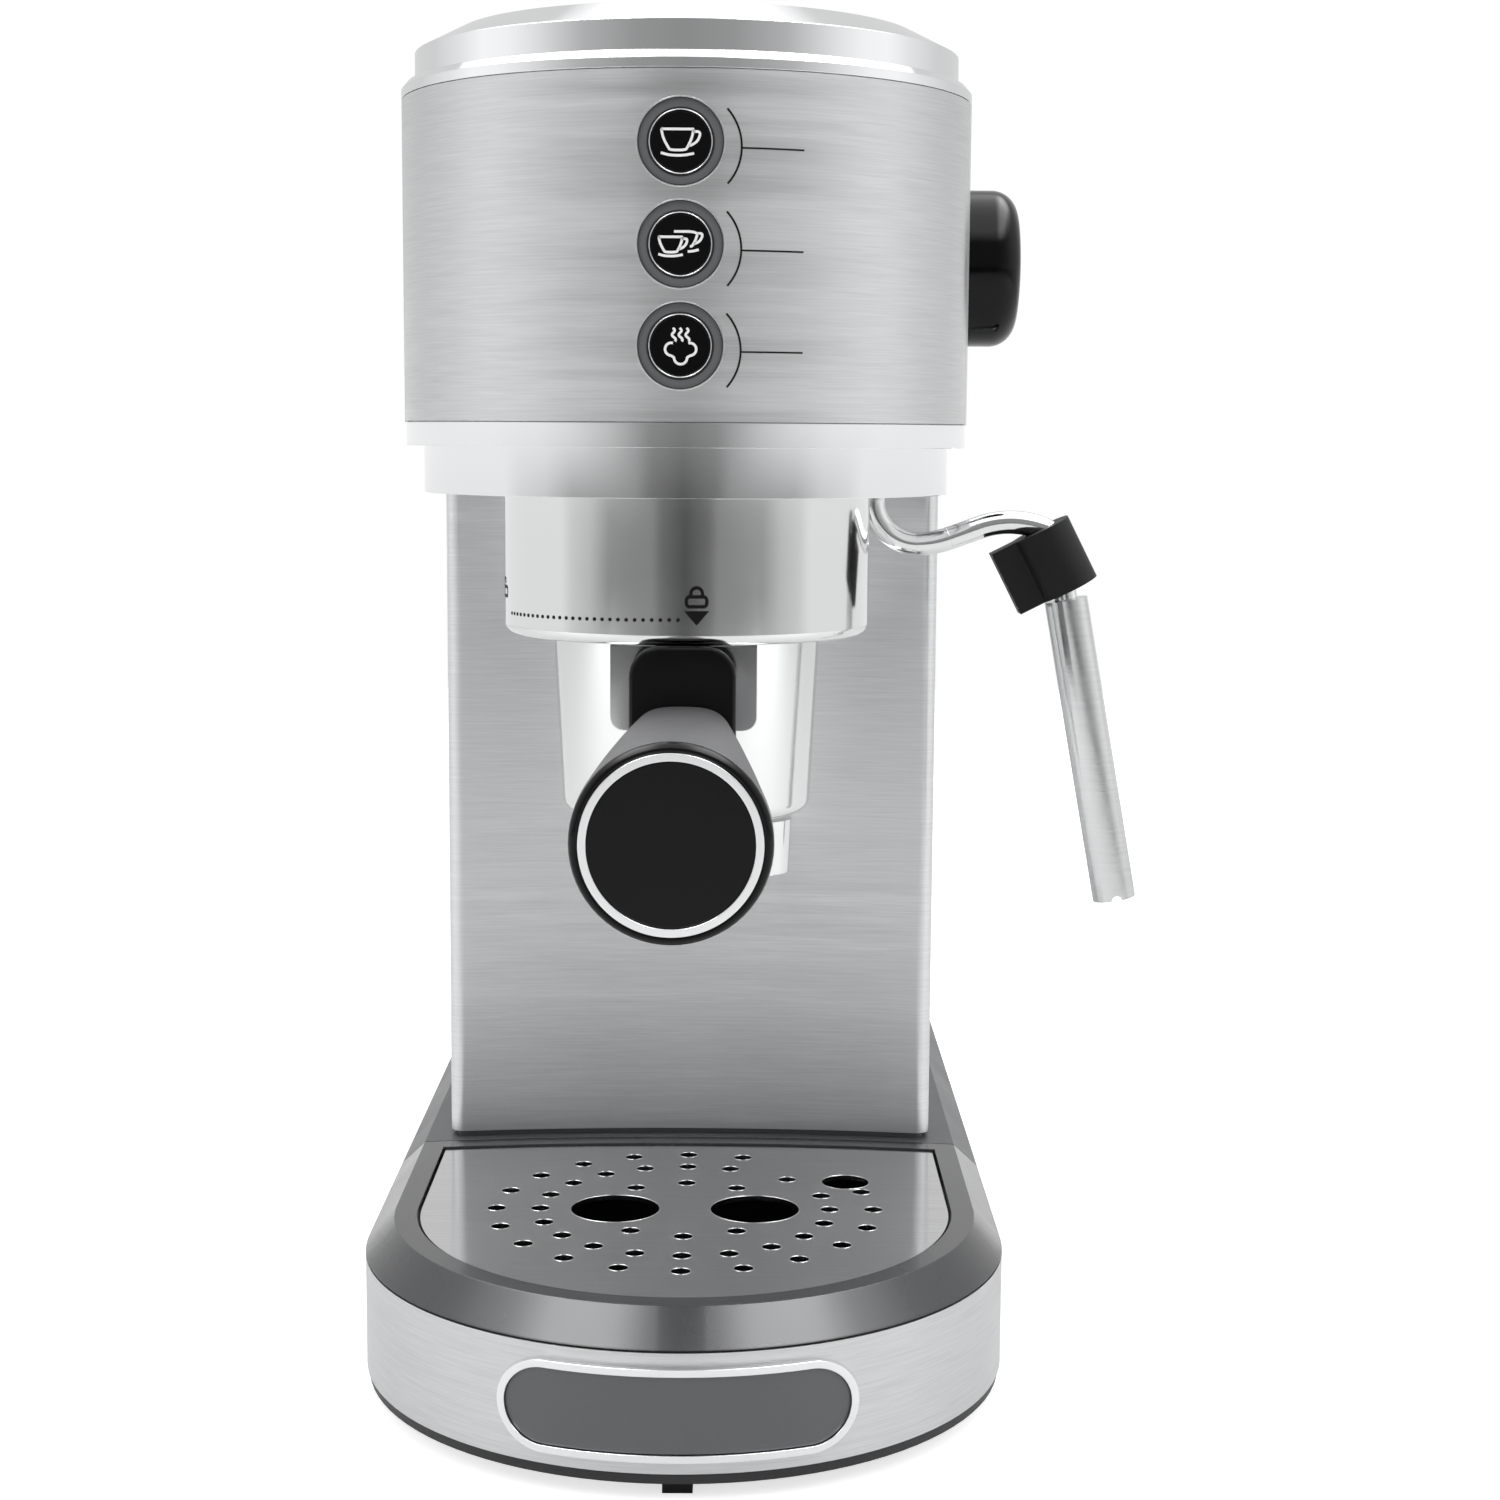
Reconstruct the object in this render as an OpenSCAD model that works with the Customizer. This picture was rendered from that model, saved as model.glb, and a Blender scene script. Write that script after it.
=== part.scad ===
// Slim pump espresso machine, millimetres.
// X to the right, Y to the back, Z up. The origin is on the table under the brew axis.
// Half sections are drawn with x as the distance from the centre plane.

/* [Base] */
// Half width of the base and radius of its round front
base_r = 75; // [70:0.5:82]
// Rear face of the base behind the brew axis
base_rear = 255; // [250:1:280]
// Radius of the base's rear corners
base_corner = 30; // [26:1:36]
// Height of the rubber feet
foot_h = 3.9; // [3:0.1:8]
// Radius of a rubber foot
foot_r = 8; // [6:0.5:10]
// Thickness of the floor pan
pan_t = 2.1; // [1.6:0.1:3]
// Height from the pan's underside to the shoulder of the chamfer
shoulder_h = 29.2; // [27:0.1:36]
// Height of the chamfer round the base
chamfer_h = 7.4; // [6:0.1:9]
// Width of the chamfer round the base
chamfer_w = 6.7; // [5:0.1:8]
// Wall of the moulded base parts
base_wall = 2.4; // [2:0.1:3]

/* [Drip tray] */
// Width of the flat ring round the drip plate
ring_w = 5.3; // [4:0.1:7]
// Gap between the drip plate and its ring
plate_gap = 0.7; // [0.4:0.1:1.2]
// Sheet thickness of the drip plate
plate_t = 1.2; // [0.8:0.1:2]
// Depth of the drip plate's turned down edge
plate_skirt = 4.5; // [3:0.1:5]
// Depth of the drip plate's top below the ring
plate_sink = 0.5; // [0:0.1:1]
// Back edge of the drip plate on the centre plane
plate_back = 53; // [48:0.5:53.5]
// Radius of the small drain holes
drain_r = 2.2; // [1.5:0.1:2.6]
// Radius of the outer circle of drain holes
drain_outer_r = 44.7; // [43:0.1:48]
// Radius of the middle circle of drain holes
drain_middle_r = 34.3; // [33:0.1:36]
// Radius of the inner circle of drain holes
drain_inner_r = 20.6; // [20:0.1:24]
// Radius of the two large holes
cup_hole_r = 10.5; // [8:0.5:11]
// Radius of the hole on the right
side_hole_r = 5.75; // [4:0.25:6.5]
// Thickness of the steel band
band_t = 0.8; // [0.6:0.1:1.2]
// Wall of the tray bin
bin_wall = 2.2; // [1.8:0.1:3]
// Parting line between tray and body on the centre plane
seam_y = 58.9; // [58:0.1:60]
// Backward slope of the parting face below the deck
seam_slope = 7; // [5:0.5:8]
// Width of the guide rails under the tray
rail_w = 5; // [4:0.5:8]
// Height of the guide rails
rail_h = 2.4; // [1.5:0.1:4]
// Distance of the guide rails from the centre plane
rail_x = 40; // [30:1:45]
// Width of the plaque on the band
badge_w = 77; // [60:1:90]
// Height of the plaque
badge_h = 20.3; // [16:0.1:22]
// Width of the plaque's bright rim
badge_rim_w = 1.6; // [1:0.1:3]
// How far the plaque stands out
badge_t = 1.6; // [1:0.1:3]

/* [Body] */
// Half width of the body
body_r = 62.3; // [60:0.1:64]
// Front face of the column on the centre plane
column_y = 62.5; // [62:0.1:64]
// Radius of the column's hollow front
bow_r = 430; // [350:10:600]
// Radius of the column's upright edges
edge_r = 3.5; // [3:0.1:5]
// Height of the column from the deck to the head
column_h = 169; // [160:1:190]
// Shadow gap under the column panel
foot_gap = 1.5; // [1:0.1:2.5]
// Sheet thickness of the column panel
panel_t = 1; // [0.8:0.1:1.5]
// Depth of the panel's turned back edges
panel_return = 12; // [10:0.5:16]
// Wall of the side covers
cover_t = 2.4; // [2:0.1:2.8]
// Rear face of the body
body_rear = 188; // [180:1:192]
// Height of the locating rib on the deck
rib_h = 4; // [3:0.5:6]

/* [Head] */
// Centre of the head's round front
head_y = -12.5; // [-16:0.5:-8]
// How far the head's sides lie inside the body's sides
head_inset = 0.05; // [0:0.05:0.5]
// Wall of the head shell
head_wall = 3; // [2.6:0.1:4]
// Depth of the seat for the steel band
band_seat = 1; // [0.9:0.1:1.4]
// Half angle that the steel band covers
band_angle = 78; // [60:1:82]
// Height of the steel band
head_band_h = 68.9; // [66:0.1:76]
// Height of the bright ring below the band
ring_h = 5; // [3:0.1:8]
// Step in of the bright ring
ring_step = 0.35; // [0.2:0.05:1]
// Height of the bright skirt
skirt_h = 10.2; // [8:0.1:14]
// Step in of the bright skirt below the ring
skirt_step = 3.85; // [3.2:0.05:5]
// Wall of the ring and skirt
skirt_wall = 2.2; // [1.6:0.1:3]
// Height of the flange on the head
flange_h = 3.4; // [2:0.1:5]
// Step in of the upper rim
rim_step = 3; // [2:0.1:4]
// Height of the upright part of the upper rim
rim_h = 6.4; // [4:0.1:9]
// Width of the upper rim's chamfer
rim_chamfer_w = 9; // [6:0.1:10]
// Height of the upper rim's chamfer
rim_chamfer_h = 4.6; // [3:0.1:6]
// Wall of the upper rim
rim_wall = 2; // [1.6:0.1:2.6]
// Depth that the cup warmer plate is let in
warmer_t = 1; // [0.8:0.1:1.2]

/* [Buttons] */
// Distance between button centres
button_pitch = 19.8; // [18.2:0.1:22]
// Radius of a button
button_r = 6.3; // [5.5:0.1:6.6]
// Radius of a button's glossy disc
button_disc_r = 5.9; // [5:0.1:6.1]
// Outer radius of a bezel
bezel_r = 8.5; // [8.2:0.1:8.8]
// Clearance round a button
button_gap = 0.25; // [0.2:0.05:0.4]
// Travel of a button
button_travel = 1.2; // [0.8:0.1:1.4]

/* [Brew group] */
// Outer radius of the group cover
group_r = 41.7; // [41.5:0.1:44]
// Sheet thickness of the group cover
group_t = 1.5; // [1:0.1:2]
// Height of the group cover below the head
group_h = 32.3; // [30:0.1:36]
// Radius of the group cover's lower edge
group_edge = 2.3; // [1.8:0.1:3]
// Outer radius of the brew head
brew_r = 38.5; // [38.2:0.1:39.5]
// Height of the lip that carries the lugs
lip_h = 4.5; // [3.5:0.1:5]
// Height of the groove for the lugs
groove_h = 6; // [5.6:0.1:6.5]
// Outer radius of the lugs on the portafilter
lug_r = 36.4; // [35:0.1:36.8]
// Angle that a lug covers
lug_angle = 42; // [30:1:50]
// Turn from locked to the entry slots
entry_turn = 72; // [60:1:80]

/* [Portafilter] */
// Radius of the bowl at its rim
bowl_r = 30.5; // [29:0.1:31]
// Radius of the bowl at its foot
bowl_foot_r = 28.6; // [27:0.1:30]
// Height of the bowl
bowl_h = 54.8; // [50:0.1:58]
// Radius of the bowl's lower edge
bowl_edge = 3; // [2:0.1:4]
// Wall of the bowl
bowl_wall = 3; // [2.4:0.1:3.4]
// Depth of the filter basket
basket_h = 26; // [22:1:32]
// Sheet thickness of the filter basket
basket_t = 0.8; // [0.6:0.1:1]
// Distance of each spout from the centre plane
spout_x = 16.55; // [15:0.05:20]
// Radius of a spout at its top
spout_r = 7.9; // [7:0.1:9]
// Radius of a spout at its tip
spout_tip_r = 7.3; // [6:0.1:7.8]
// Bore of a spout
spout_bore_r = 4.5; // [3:0.1:5.5]
// Height of the spouts below the bowl
spout_h = 14.7; // [12:0.1:20]
// Width of the arched neck
neck_w = 23; // [20:0.5:26]
// Front face of the neck before the brew axis
neck_front = 45; // [44:0.5:50]
// Width of the flat boss on the bowl
boss_w = 32; // [28:0.5:36]
// Height of the flat boss on the bowl
boss_h = 19; // [15:0.5:22]
// Front face of the boss before the brew axis
boss_front = 33.5; // [32.5:0.1:35]
// Height of the handle axis above the bowl's foot
grip_rise = 14.8; // [14:0.1:18]
// Downward tilt of the handle
grip_tilt = 1; // [0:0.1:3]
// Length of the grip
grip_l = 88.5; // [80:0.5:110]
// Radius of the grip at the neck
grip_r = 12.3; // [11.5:0.1:14]
// Radius of the grip at its end
grip_end_r = 18.6; // [17.5:0.1:20]
// Rounding of the grip's end
grip_edge = 1.6; // [1:0.1:2]
// Outer radius of the bright ring in the grip's end
cap_ring_r = 16.75; // [16:0.05:16.8]
// Width of the bright ring
cap_ring_w = 1.45; // [1:0.05:2]
// Radius of the handle bolt
bolt_r = 2.5; // [2:0.1:3]

/* [Steam] */
// Distance of the wand's swivel from the centre plane
wand_x = 43.5; // [43.5:0.5:46]
// Distance of the wand's swivel behind the brew axis
wand_y = 18; // [12:1:24]
// Outer radius of the steam tube
tube_r = 2.75; // [2:0.05:2.9]
// Radius of the tube's first bend
bend_r = 10.3; // [8:0.1:12]
// Height of the first bend's axis below the head
bend_drop = 2.3; // [2:0.1:6]
// Radius of the tube's rising bend
rise_r = 23; // [15:0.5:30]
// Climb of the tube's straight part
rise_angle = 20; // [10:1:30]
// Length of the tube's straight part
rise_l = 7.35; // [4:0.05:12]
// Radius of the tube's crest
crest_r = 22; // [15:0.5:30]
// Fall of the tube where it enters the grip
entry_angle = 20; // [10:1:30]
// Radius of the bend inside the grip
drop_r = 5.7; // [5:0.1:8]
// Lean of the sleeve from upright
sleeve_lean = 10.4; // [5:0.1:15]
// Lean of the rubber grip from upright
holder_lean = 27; // [20:1:30]
// Radius of the rubber grip
holder_r = 7.4; // [7:0.1:9]
// Length of the rubber grip
holder_l = 15.8; // [14:0.1:20]
// Outer radius of the frother sleeve
sleeve_r = 5.1; // [4.6:0.1:6]
// Length of the frother sleeve
sleeve_l = 73; // [60:1:85]
// Sheet thickness of the frother sleeve
sleeve_t = 0.6; // [0.5:0.1:1]
// Radius of the steam knob
knob_r = 17.9; // [15:0.1:19]
// Height of the steam knob
knob_h = 13.4; // [10:0.1:18]
// Rounding of the steam knob's edge
knob_edge = 6; // [3:0.5:7]
// Height of the steam knob's axis above the head's lower edge
knob_rise = 52; // [46:0.5:56]
// Radius of the steam knob's shaft
shaft_r = 3; // [2.5:0.1:3.5]
// Running clearance of shafts and swivels
run_gap = 0.05; // [0.03:0.01:0.08]

/* [Water tank] */
// Step from the body's side in to the tank's side
tank_step = 2.3; // [1.3:0.1:5]
// Rear face of the tank
tank_rear = 245; // [240:0.5:245.5]
// Radius of the tank's rear corners
tank_corner = 25; // [20:1:28]
// Wall of the tank
tank_wall = 2.4; // [2:0.1:3]
// Radius of the pocket over the tank socket
pocket_r = 16; // [14:0.5:18]
// Depth of the pocket over the tank socket
pocket_h = 12; // [10:0.5:15]
// Radius of the tank socket
socket_r = 10; // [8:0.5:12]
// Radius of the tank valve
valve_r = 6.5; // [5:0.5:7]
// Distance of the lid's hinge ears from the centre plane
ear_x = 26; // [20:1:32]

/* [Inner parts] */
// Radius of the vibration pump's coil block
pump_r = 19; // [16:1:21]
// Distance of the pump behind the brew axis
pump_y = 125; // [115:1:130]
// Length of the pump's coil block
pump_coil_h = 46; // [40:1:55]
// Height of the pump's coil block above the deck
pump_rise = 34; // [30:1:40]
// Length of the pump's inlet housing
pump_inlet_h = 16; // [12:1:18]
// Length of the pump's outlet housing
pump_outlet_h = 22; // [18:1:26]
// Length of the pump's hose tips
pump_tip_h = 8; // [6:0.5:9]
// Distance of the pump bracket's plate behind the pump
bracket_y = 24; // [22:0.5:28]
// Half width of the pump bracket
bracket_r = 24; // [20:1:30]
// Radius of the silicone suction hose
suction_r = 4; // [3:0.5:5]
// Radius of the pressure hose
pressure_r = 2.5; // [2:0.5:3]
// Radius of the hoses' bends
hose_bend = 10; // [8:1:14]
// Height of the thermoblock's disc
block_disc_h = 20; // [16:1:24]
// Height of the thermoblock's upper part
block_h = 18; // [14:1:22]
// Rear face of the thermoblock
block_rear = 52; // [46:1:58]
// Length of the thermoblock's hose ports
port_l = 12; // [8:1:16]
// Thickness of the control board
board_t = 1.6; // [1.2:0.1:2]
// Radius of the housing screws
screw_r = 1.5; // [1.2:0.1:2]

/* [Rear] */
// Distance of the power switch and the cord gland from the centre plane
inlet_x = 30; // [20:1:38]
// Half width of the power switch's opening
rocker_w = 5.5; // [4.5:0.5:7]
// Half height of the power switch's opening
rocker_h = 8.8; // [7:0.1:10]
// Tilt of the power switch in each position
rocker_tilt = 9; // [5:1:12]
// Radius of the cord gland's bore
gland_r = 3.6; // [3:0.1:4.5]

/* [Fits] */
// Clearance between parts that slide or turn past each other
slide_gap = 0.3; // [0.25:0.05:0.4]
// Clearance between fixed parts
fit_gap = 0.2; // [0.1:0.05:0.3]

/* [Hidden] */
$fn = 64;
eps = 0.01;
far = 400;

// Heights of the base
pan_top = foot_h + pan_t;
tray_z = pan_top + slide_gap;
shoulder_z = foot_h + shoulder_h;
deck_z = shoulder_z + chamfer_h;
deck_r = base_r - chamfer_w;
ring_r = deck_r - ring_w;
plate_r = ring_r - plate_gap;
plate_z = deck_z - plate_sink;
ledge_z = plate_z - plate_skirt;
bin_r = base_r - band_t - fit_gap;
bin_z = shoulder_z - 0.7;
bow_y = column_y - bow_r;

// Heights of the head
skirt_z = deck_z + column_h;
ring_z = skirt_z + skirt_h;
head_z = ring_z + ring_h;
flange_z = head_z + head_band_h;
rim_z = flange_z + flange_h;
rim_top = rim_z + rim_h;
top_z = rim_top + rim_chamfer_h;
head_r = body_r - head_inset;
ring_out_r = head_r - ring_step;
skirt_r = ring_out_r - skirt_step;
rim_r = head_r - rim_step;
warmer_r = rim_r - rim_chamfer_w - 3;
shell_in_r = head_r - head_wall;
button_z = head_z + head_band_h / 2 + 0.4;
button_face_y = head_y - head_r + 0.35;
bezel_face_y = head_y - head_r + 0.85;

// Heights of the brew group
cover_z = skirt_z - group_h;
brew_z = cover_z + 2.8;
groove_z = brew_z + lip_h;
bowl_top = groove_z + groove_h + 0.5;
bowl_z = bowl_top - bowl_h;
basket_lip = 1.2;
gasket_z = bowl_top + basket_lip + slide_gap;
gasket_h = 8.5;
block_z = head_z - 0.5;
spout_z = bowl_z - spout_h;
grip_z = bowl_z + grip_rise;

// Steam side
knob_z = head_z + knob_rise - 15.7;
bend_z = skirt_z - bend_drop;
valve_x = wand_x;

// Tank and rear
tank_r = body_r - tank_step;
tank_front = body_rear + 1;
tank_z = deck_z + slide_gap;
tank_top = flange_z - slide_gap;
socket_y = (tank_front + tank_rear) / 2;
lid_rear = tank_rear + 1.2;
hinge_y = lid_rear + 3.2;
hinge_z = flange_z + 1.9;
inlet_z = (pan_top + shoulder_z) / 2;
pump_z = deck_z + pump_rise;
pump_foot = pump_z - pump_inlet_h - pump_tip_h;
pump_head = pump_z + pump_coil_h + pump_outlet_h + pump_tip_h;

function arc(r, a0, a1, n = 12) = [for (i = [0:n]) let (a = a0 + (a1 - a0) * i / n) r * [cos(a), sin(a)]];

// A half section swept round the front, along the sides and round the rear corners
module sweep(r, y0, y1, corner = 0, front = true) {
    if (front)
        translate([0, y0, 0]) rotate([0, 0, 180]) rotate_extrude(angle = 180) children();
    translate([0, y1 - corner, 0]) rotate([90, 0, 0]) linear_extrude(y1 - corner - y0) {
        children();
        mirror([1, 0]) children();
    }
    if (corner > 0) {
        for (s = [0, 1]) mirror([s, 0, 0]) translate([r - corner, y1 - corner, 0])
            rotate_extrude(angle = 90) beyond(r - corner) children();
        translate([corner - r, y1 - corner, 0]) rotate([90, 0, 90])
            linear_extrude(2 * (r - corner)) beyond(r - corner) children();
    }
}

// The part of a half section outside x, moved to the axis
module beyond(x) {
    intersection() {
        translate([-x, 0]) children();
        square([far, far]);
    }
}

// Rectangle of a half section
module bar(x, z0, z1) {
    translate([0, z0]) square([x, z1 - z0]);
}

// Everything in front of the hollow line that crosses the centre plane at y
module before_bow(y, z0, z1) {
    translate([0, bow_y, z0]) cylinder(h = z1 - z0, r = y - bow_y, $fn = 256);
}

// Everything in front of the parting face between tray and body
module before_seam(gap = 0) {
    r = seam_y - bow_y + gap;
    translate([0, bow_y, 0]) cylinder(h = shoulder_z, r = r + seam_slope, $fn = 256);
    translate([0, bow_y, shoulder_z - eps])
        cylinder(h = chamfer_h + 2 * eps, r1 = r + seam_slope, r2 = r, $fn = 256);
}

// Plan of the body with its hollow front, drawn in by inset
module body_plan(inset, y1) {
    cx = body_r - edge_r;
    cy = bow_y + sqrt(pow(bow_r + edge_r, 2) - cx * cx);
    tx = cx * (bow_r + inset) / (bow_r + edge_r);
    for (s = [-1, 1]) translate([s * cx, cy]) circle(edge_r - inset);
    difference() {
        union() {
            translate([inset - body_r, cy]) square([2 * (body_r - inset), y1 - cy]);
            translate([-tx, cy - 2 * edge_r]) square([2 * tx, 3 * edge_r]);
        }
        translate([0, bow_y]) circle(bow_r + inset, $fn = 256);
    }
}

// Cylinder along Y from y0 to y1
module rod_y(x, z, y0, y1, r) {
    translate([x, y0, z]) rotate([-90, 0, 0]) cylinder(h = y1 - y0, r = r);
}

// Cylinder along X from x0 to x1
module rod_x(x0, x1, y, z, r) {
    translate([x0, y, z]) rotate([0, 90, 0]) cylinder(h = x1 - x0, r = r);
}

// Box between two corners
module block(a, b) {
    translate(a) cube(b - a);
}

// Where the housing screws go up through the pan, inside the body's sides
pan_screw_in = 4.3;
pan_screws = [for (s = [-1, 1], y = [84, 176]) [s * (body_r - pan_screw_in), y]];
// Where the housing screws hold the rear cover, with the part that takes them
cover_screws = [for (x = [-1, 1]) x * (shell_in_r - 6)];
low_screw_z = deck_z + 25;
high_screw_z = flange_z - 14;
pan_screw_l = 19;

// Cooling slots in the rear cover: half width, height, place and distance apart
vent_half = 24;
vent_h = 3;
vent_rise = 8;
vent_pitch = 7;

// Length of the button bezels, and place of the switches' legs
bezel_l = 6.5;
switch_leg_x = 10.2;

// Hub and bar that join the two spouts
spout_hub_r = 8.5;
spout_hub_h = 7;
spout_bar_r = 6.4;

// ---- Base ----

module base_pan() color("#2b2b2d") difference() {
    union() {
        sweep(base_r - 0.6, 0, base_rear - 0.6, base_corner - 0.6)
            bar(base_r - 0.6, foot_h, pan_top);
        for (s = [-1, 1])
            block([s * rail_x - rail_w / 2, -45, pan_top - eps],
                  [s * rail_x + rail_w / 2, 45, pan_top + rail_h]);
    }
    for (p = pan_screws) translate([p.x, p.y, 0]) cylinder(h = 20, r = screw_r + fit_gap);
}

foot_spots = [[-46, -34], [46, -34], [-52, 215], [52, 215]];

module rubber_feet() color("#1c1c1d") {
    for (p = foot_spots) translate([p.x, p.y, 0]) {
        cylinder(h = foot_h / 2 + eps, r1 = foot_r - 1, r2 = foot_r);
        translate([0, 0, foot_h / 2]) cylinder(h = foot_h / 2, r = foot_r);
    }
    block([-3.25, 5 - base_r, 0], [3.25, 12 - base_r, foot_h]);
}

module base_section(inset, z0) {
    polygon([[0, z0], [base_r - inset, z0], [base_r - inset, shoulder_z - inset / 2],
             [deck_r - inset / 2, deck_z - inset], [0, deck_z - inset]]);
}

module base_body() color("#58595b") difference() {
    union() {
        difference() {
            sweep(base_r, 0, base_rear, base_corner) base_section(0, pan_top);
            difference() {
                sweep(base_r - base_wall, 0, base_rear - base_wall, base_corner - base_wall)
                    base_section(base_wall, pan_top - 1);
                before_bow(seam_y + seam_slope + slide_gap + base_wall, 0, deck_z);
            }
        }
        translate([0, 0, deck_z - eps]) linear_extrude(rib_h + eps) difference() {
            body_plan(cover_t + fit_gap, body_rear - 5);
            body_plan(cover_t + fit_gap + 0.8, body_rear - 7);
            translate([-far, -far]) square([2 * far, far + column_y + 8]);
        }
        translate([0, 0, deck_z - eps]) linear_extrude(foot_gap + 2 + eps) difference() {
            body_plan(panel_t + fit_gap + 0.6, column_y + 4.5);
            body_plan(panel_t + fit_gap + 2.2, column_y + far);
        }
        difference() {
            sweep(tank_r + slide_gap + 2.4, tank_front, tank_rear + slide_gap + 2.4,
                  tank_corner + slide_gap + 2.4, front = false)
                bar(tank_r + slide_gap + 2.4, deck_z - eps, deck_z + 4.5);
            sweep(tank_r + slide_gap, tank_front - 1, tank_rear + slide_gap,
                  tank_corner + slide_gap, front = false)
                bar(tank_r + slide_gap, deck_z, deck_z + 9);
        }
        for (p = pan_screws) translate([p.x, p.y, pan_top])
            cylinder(h = deck_z - pan_top - 1, r = screw_r + 2.4);
    }
    before_seam(slide_gap);
    for (p = pan_screws) translate([p.x, p.y, 0]) cylinder(h = 26, r = screw_r + run_gap);
    translate([0, pump_y, deck_z - 10]) cylinder(h = 20, r = suction_r + 4);
    translate([0, socket_y, deck_z - 10]) cylinder(h = 20, r = socket_r - 2 + fit_gap);
    rod_y(-inlet_x, inlet_z, base_rear - 10, base_rear + 5, gland_r + 2.4 + fit_gap);
    block([inlet_x - rocker_w - 1.2 - fit_gap, base_rear - 10, inlet_z - rocker_h - 1.2 - fit_gap],
          [inlet_x + rocker_w + 1.2 + fit_gap, base_rear + 5, inlet_z + rocker_h + 1.2 + fit_gap]);
}

// ---- Body ----

panel_z = deck_z + foot_gap;
body_top = head_z - fit_gap;
return_y = column_y + panel_return - 4.5;

module column_panel() color("#b9bbbd") translate([0, 0, panel_z])
    linear_extrude(body_top - panel_z) intersection() {
        difference() {
            body_plan(0, body_rear);
            body_plan(panel_t, body_rear + 1);
        }
        translate([-far, -far]) square([2 * far, far + return_y]);
    }

module side_cover(s) {
    difference() {
        union() {
            translate([0, 0, deck_z + fit_gap]) linear_extrude(body_top - deck_z - fit_gap)
                intersection() {
                    difference() {
                        body_plan(0, body_rear);
                        body_plan(cover_t, body_rear + 1);
                    }
                    translate([s > 0 ? 0 : -far, return_y + fit_gap]) square([far, far]);
                }
            mirror([s > 0 ? 0 : 1, 0, 0]) block(
                [shell_in_r - 11, body_rear - 12.4, low_screw_z - 5],
                [body_r - cover_t + eps, body_rear - 2.4 - fit_gap, low_screw_z + 5]);
        }
        rod_y(s * (shell_in_r - 6), low_screw_z, body_rear - 14, body_rear, screw_r + run_gap);
    }
}

module left_side_cover() color("#d4d5d7") side_cover(-1);

module right_side_cover() color("#d4d5d7") side_cover(1);

module rear_cover() color("#3a3b3d") difference() {
    block([0.3 - shell_in_r, body_rear - 2.4, deck_z + fit_gap],
          [shell_in_r - 0.3, body_rear, flange_z - fit_gap]);
    for (x = cover_screws, z = [low_screw_z, high_screw_z])
        rod_y(x, z, body_rear - 5, body_rear + 5, screw_r + fit_gap);
    for (row = [0:6])
        block([-vent_half, body_rear - 5, head_z + vent_rise + vent_pitch * row],
              [vent_half, body_rear + 5, head_z + vent_rise + vent_h + vent_pitch * row]);
}

module housing_screws() color("#8d8e90") {
    for (p = pan_screws) translate([p.x, p.y, 0]) {
        translate([0, 0, foot_h - 1.4]) cylinder(h = 1.4, r = 2 * screw_r);
        translate([0, 0, foot_h - 1]) cylinder(h = pan_screw_l, r = screw_r);
    }
    for (x = cover_screws, z = [low_screw_z, high_screw_z]) {
        rod_y(x, z, body_rear, body_rear + 0.8, 2 * screw_r);
        rod_y(x, z, body_rear - 11, body_rear + 0.4, screw_r);
    }
}

// ---- Head ----

seat_y = head_y - head_r * cos(band_angle);
button_rows = [button_z + button_pitch, button_z, button_z - button_pitch];
board_y = head_y - head_r + 12.8;

module head_shell() color("#d4d5d7") difference() {
    union() {
        difference() {
            sweep(head_r, head_y, body_rear) bar(head_r, head_z, flange_z);
            sweep(shell_in_r, head_y, body_rear + 1) bar(shell_in_r, head_z - 1, flange_z + 1);
        }
        for (s = [-1, 1], z = [-0.5, 0.5])
            rod_y(s * switch_leg_x, button_z + z * button_pitch, head_y - shell_in_r - 0.2, board_y, 2);
        for (s = [0, 1]) mirror([s, 0, 0]) block(
            [shell_in_r - 11, body_rear - 12.4, high_screw_z - 5],
            [shell_in_r + eps, body_rear - 2.4 - fit_gap, high_screw_z + 5]);
    }
    difference() {
        translate([0, head_y, head_z - 1]) cylinder(h = head_band_h + 2, r = head_r + 1, $fn = 128);
        translate([0, head_y, head_z - 2]) cylinder(h = head_band_h + 4, r = head_r - band_seat, $fn = 128);
        translate([-far, seat_y, 0]) cube([2 * far, far, far]);
    }
    for (z = button_rows) rod_y(0, z, head_y - head_r - 2, head_y - 40, bezel_r + fit_gap);
    for (x = cover_screws) rod_y(x, high_screw_z, body_rear - 14, body_rear, screw_r + run_gap);
    rod_x(shell_in_r - 4, head_r + 1, wand_y, knob_z, shaft_r + 1);
}

module head_band() color("#b9bbbd") difference() {
    translate([0, head_y, head_z + fit_gap])
        cylinder(h = head_band_h - 2 * fit_gap, r = head_r, $fn = 128);
    translate([0, head_y, head_z])
        cylinder(h = head_band_h, r = head_r - band_t, $fn = 128);
    translate([-far, seat_y - fit_gap, 0]) cube([2 * far, far, far]);
    for (z = button_rows) rod_y(0, z, head_y - head_r - 2, head_y - 40, bezel_r + fit_gap / 2);
}

module lower_ring() color("#e6e7e8") difference() {
    sweep(ring_out_r, head_y, seam_y) bar(ring_out_r, ring_z, head_z);
    sweep(skirt_r + fit_gap, head_y, column_y + 1) bar(skirt_r + fit_gap, ring_z - 1, head_z + 1);
    difference() {
        translate([-far, 0, 0]) cube([2 * far, far, far]);
        before_bow(column_y - fit_gap, 0, far);
    }
}

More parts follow.
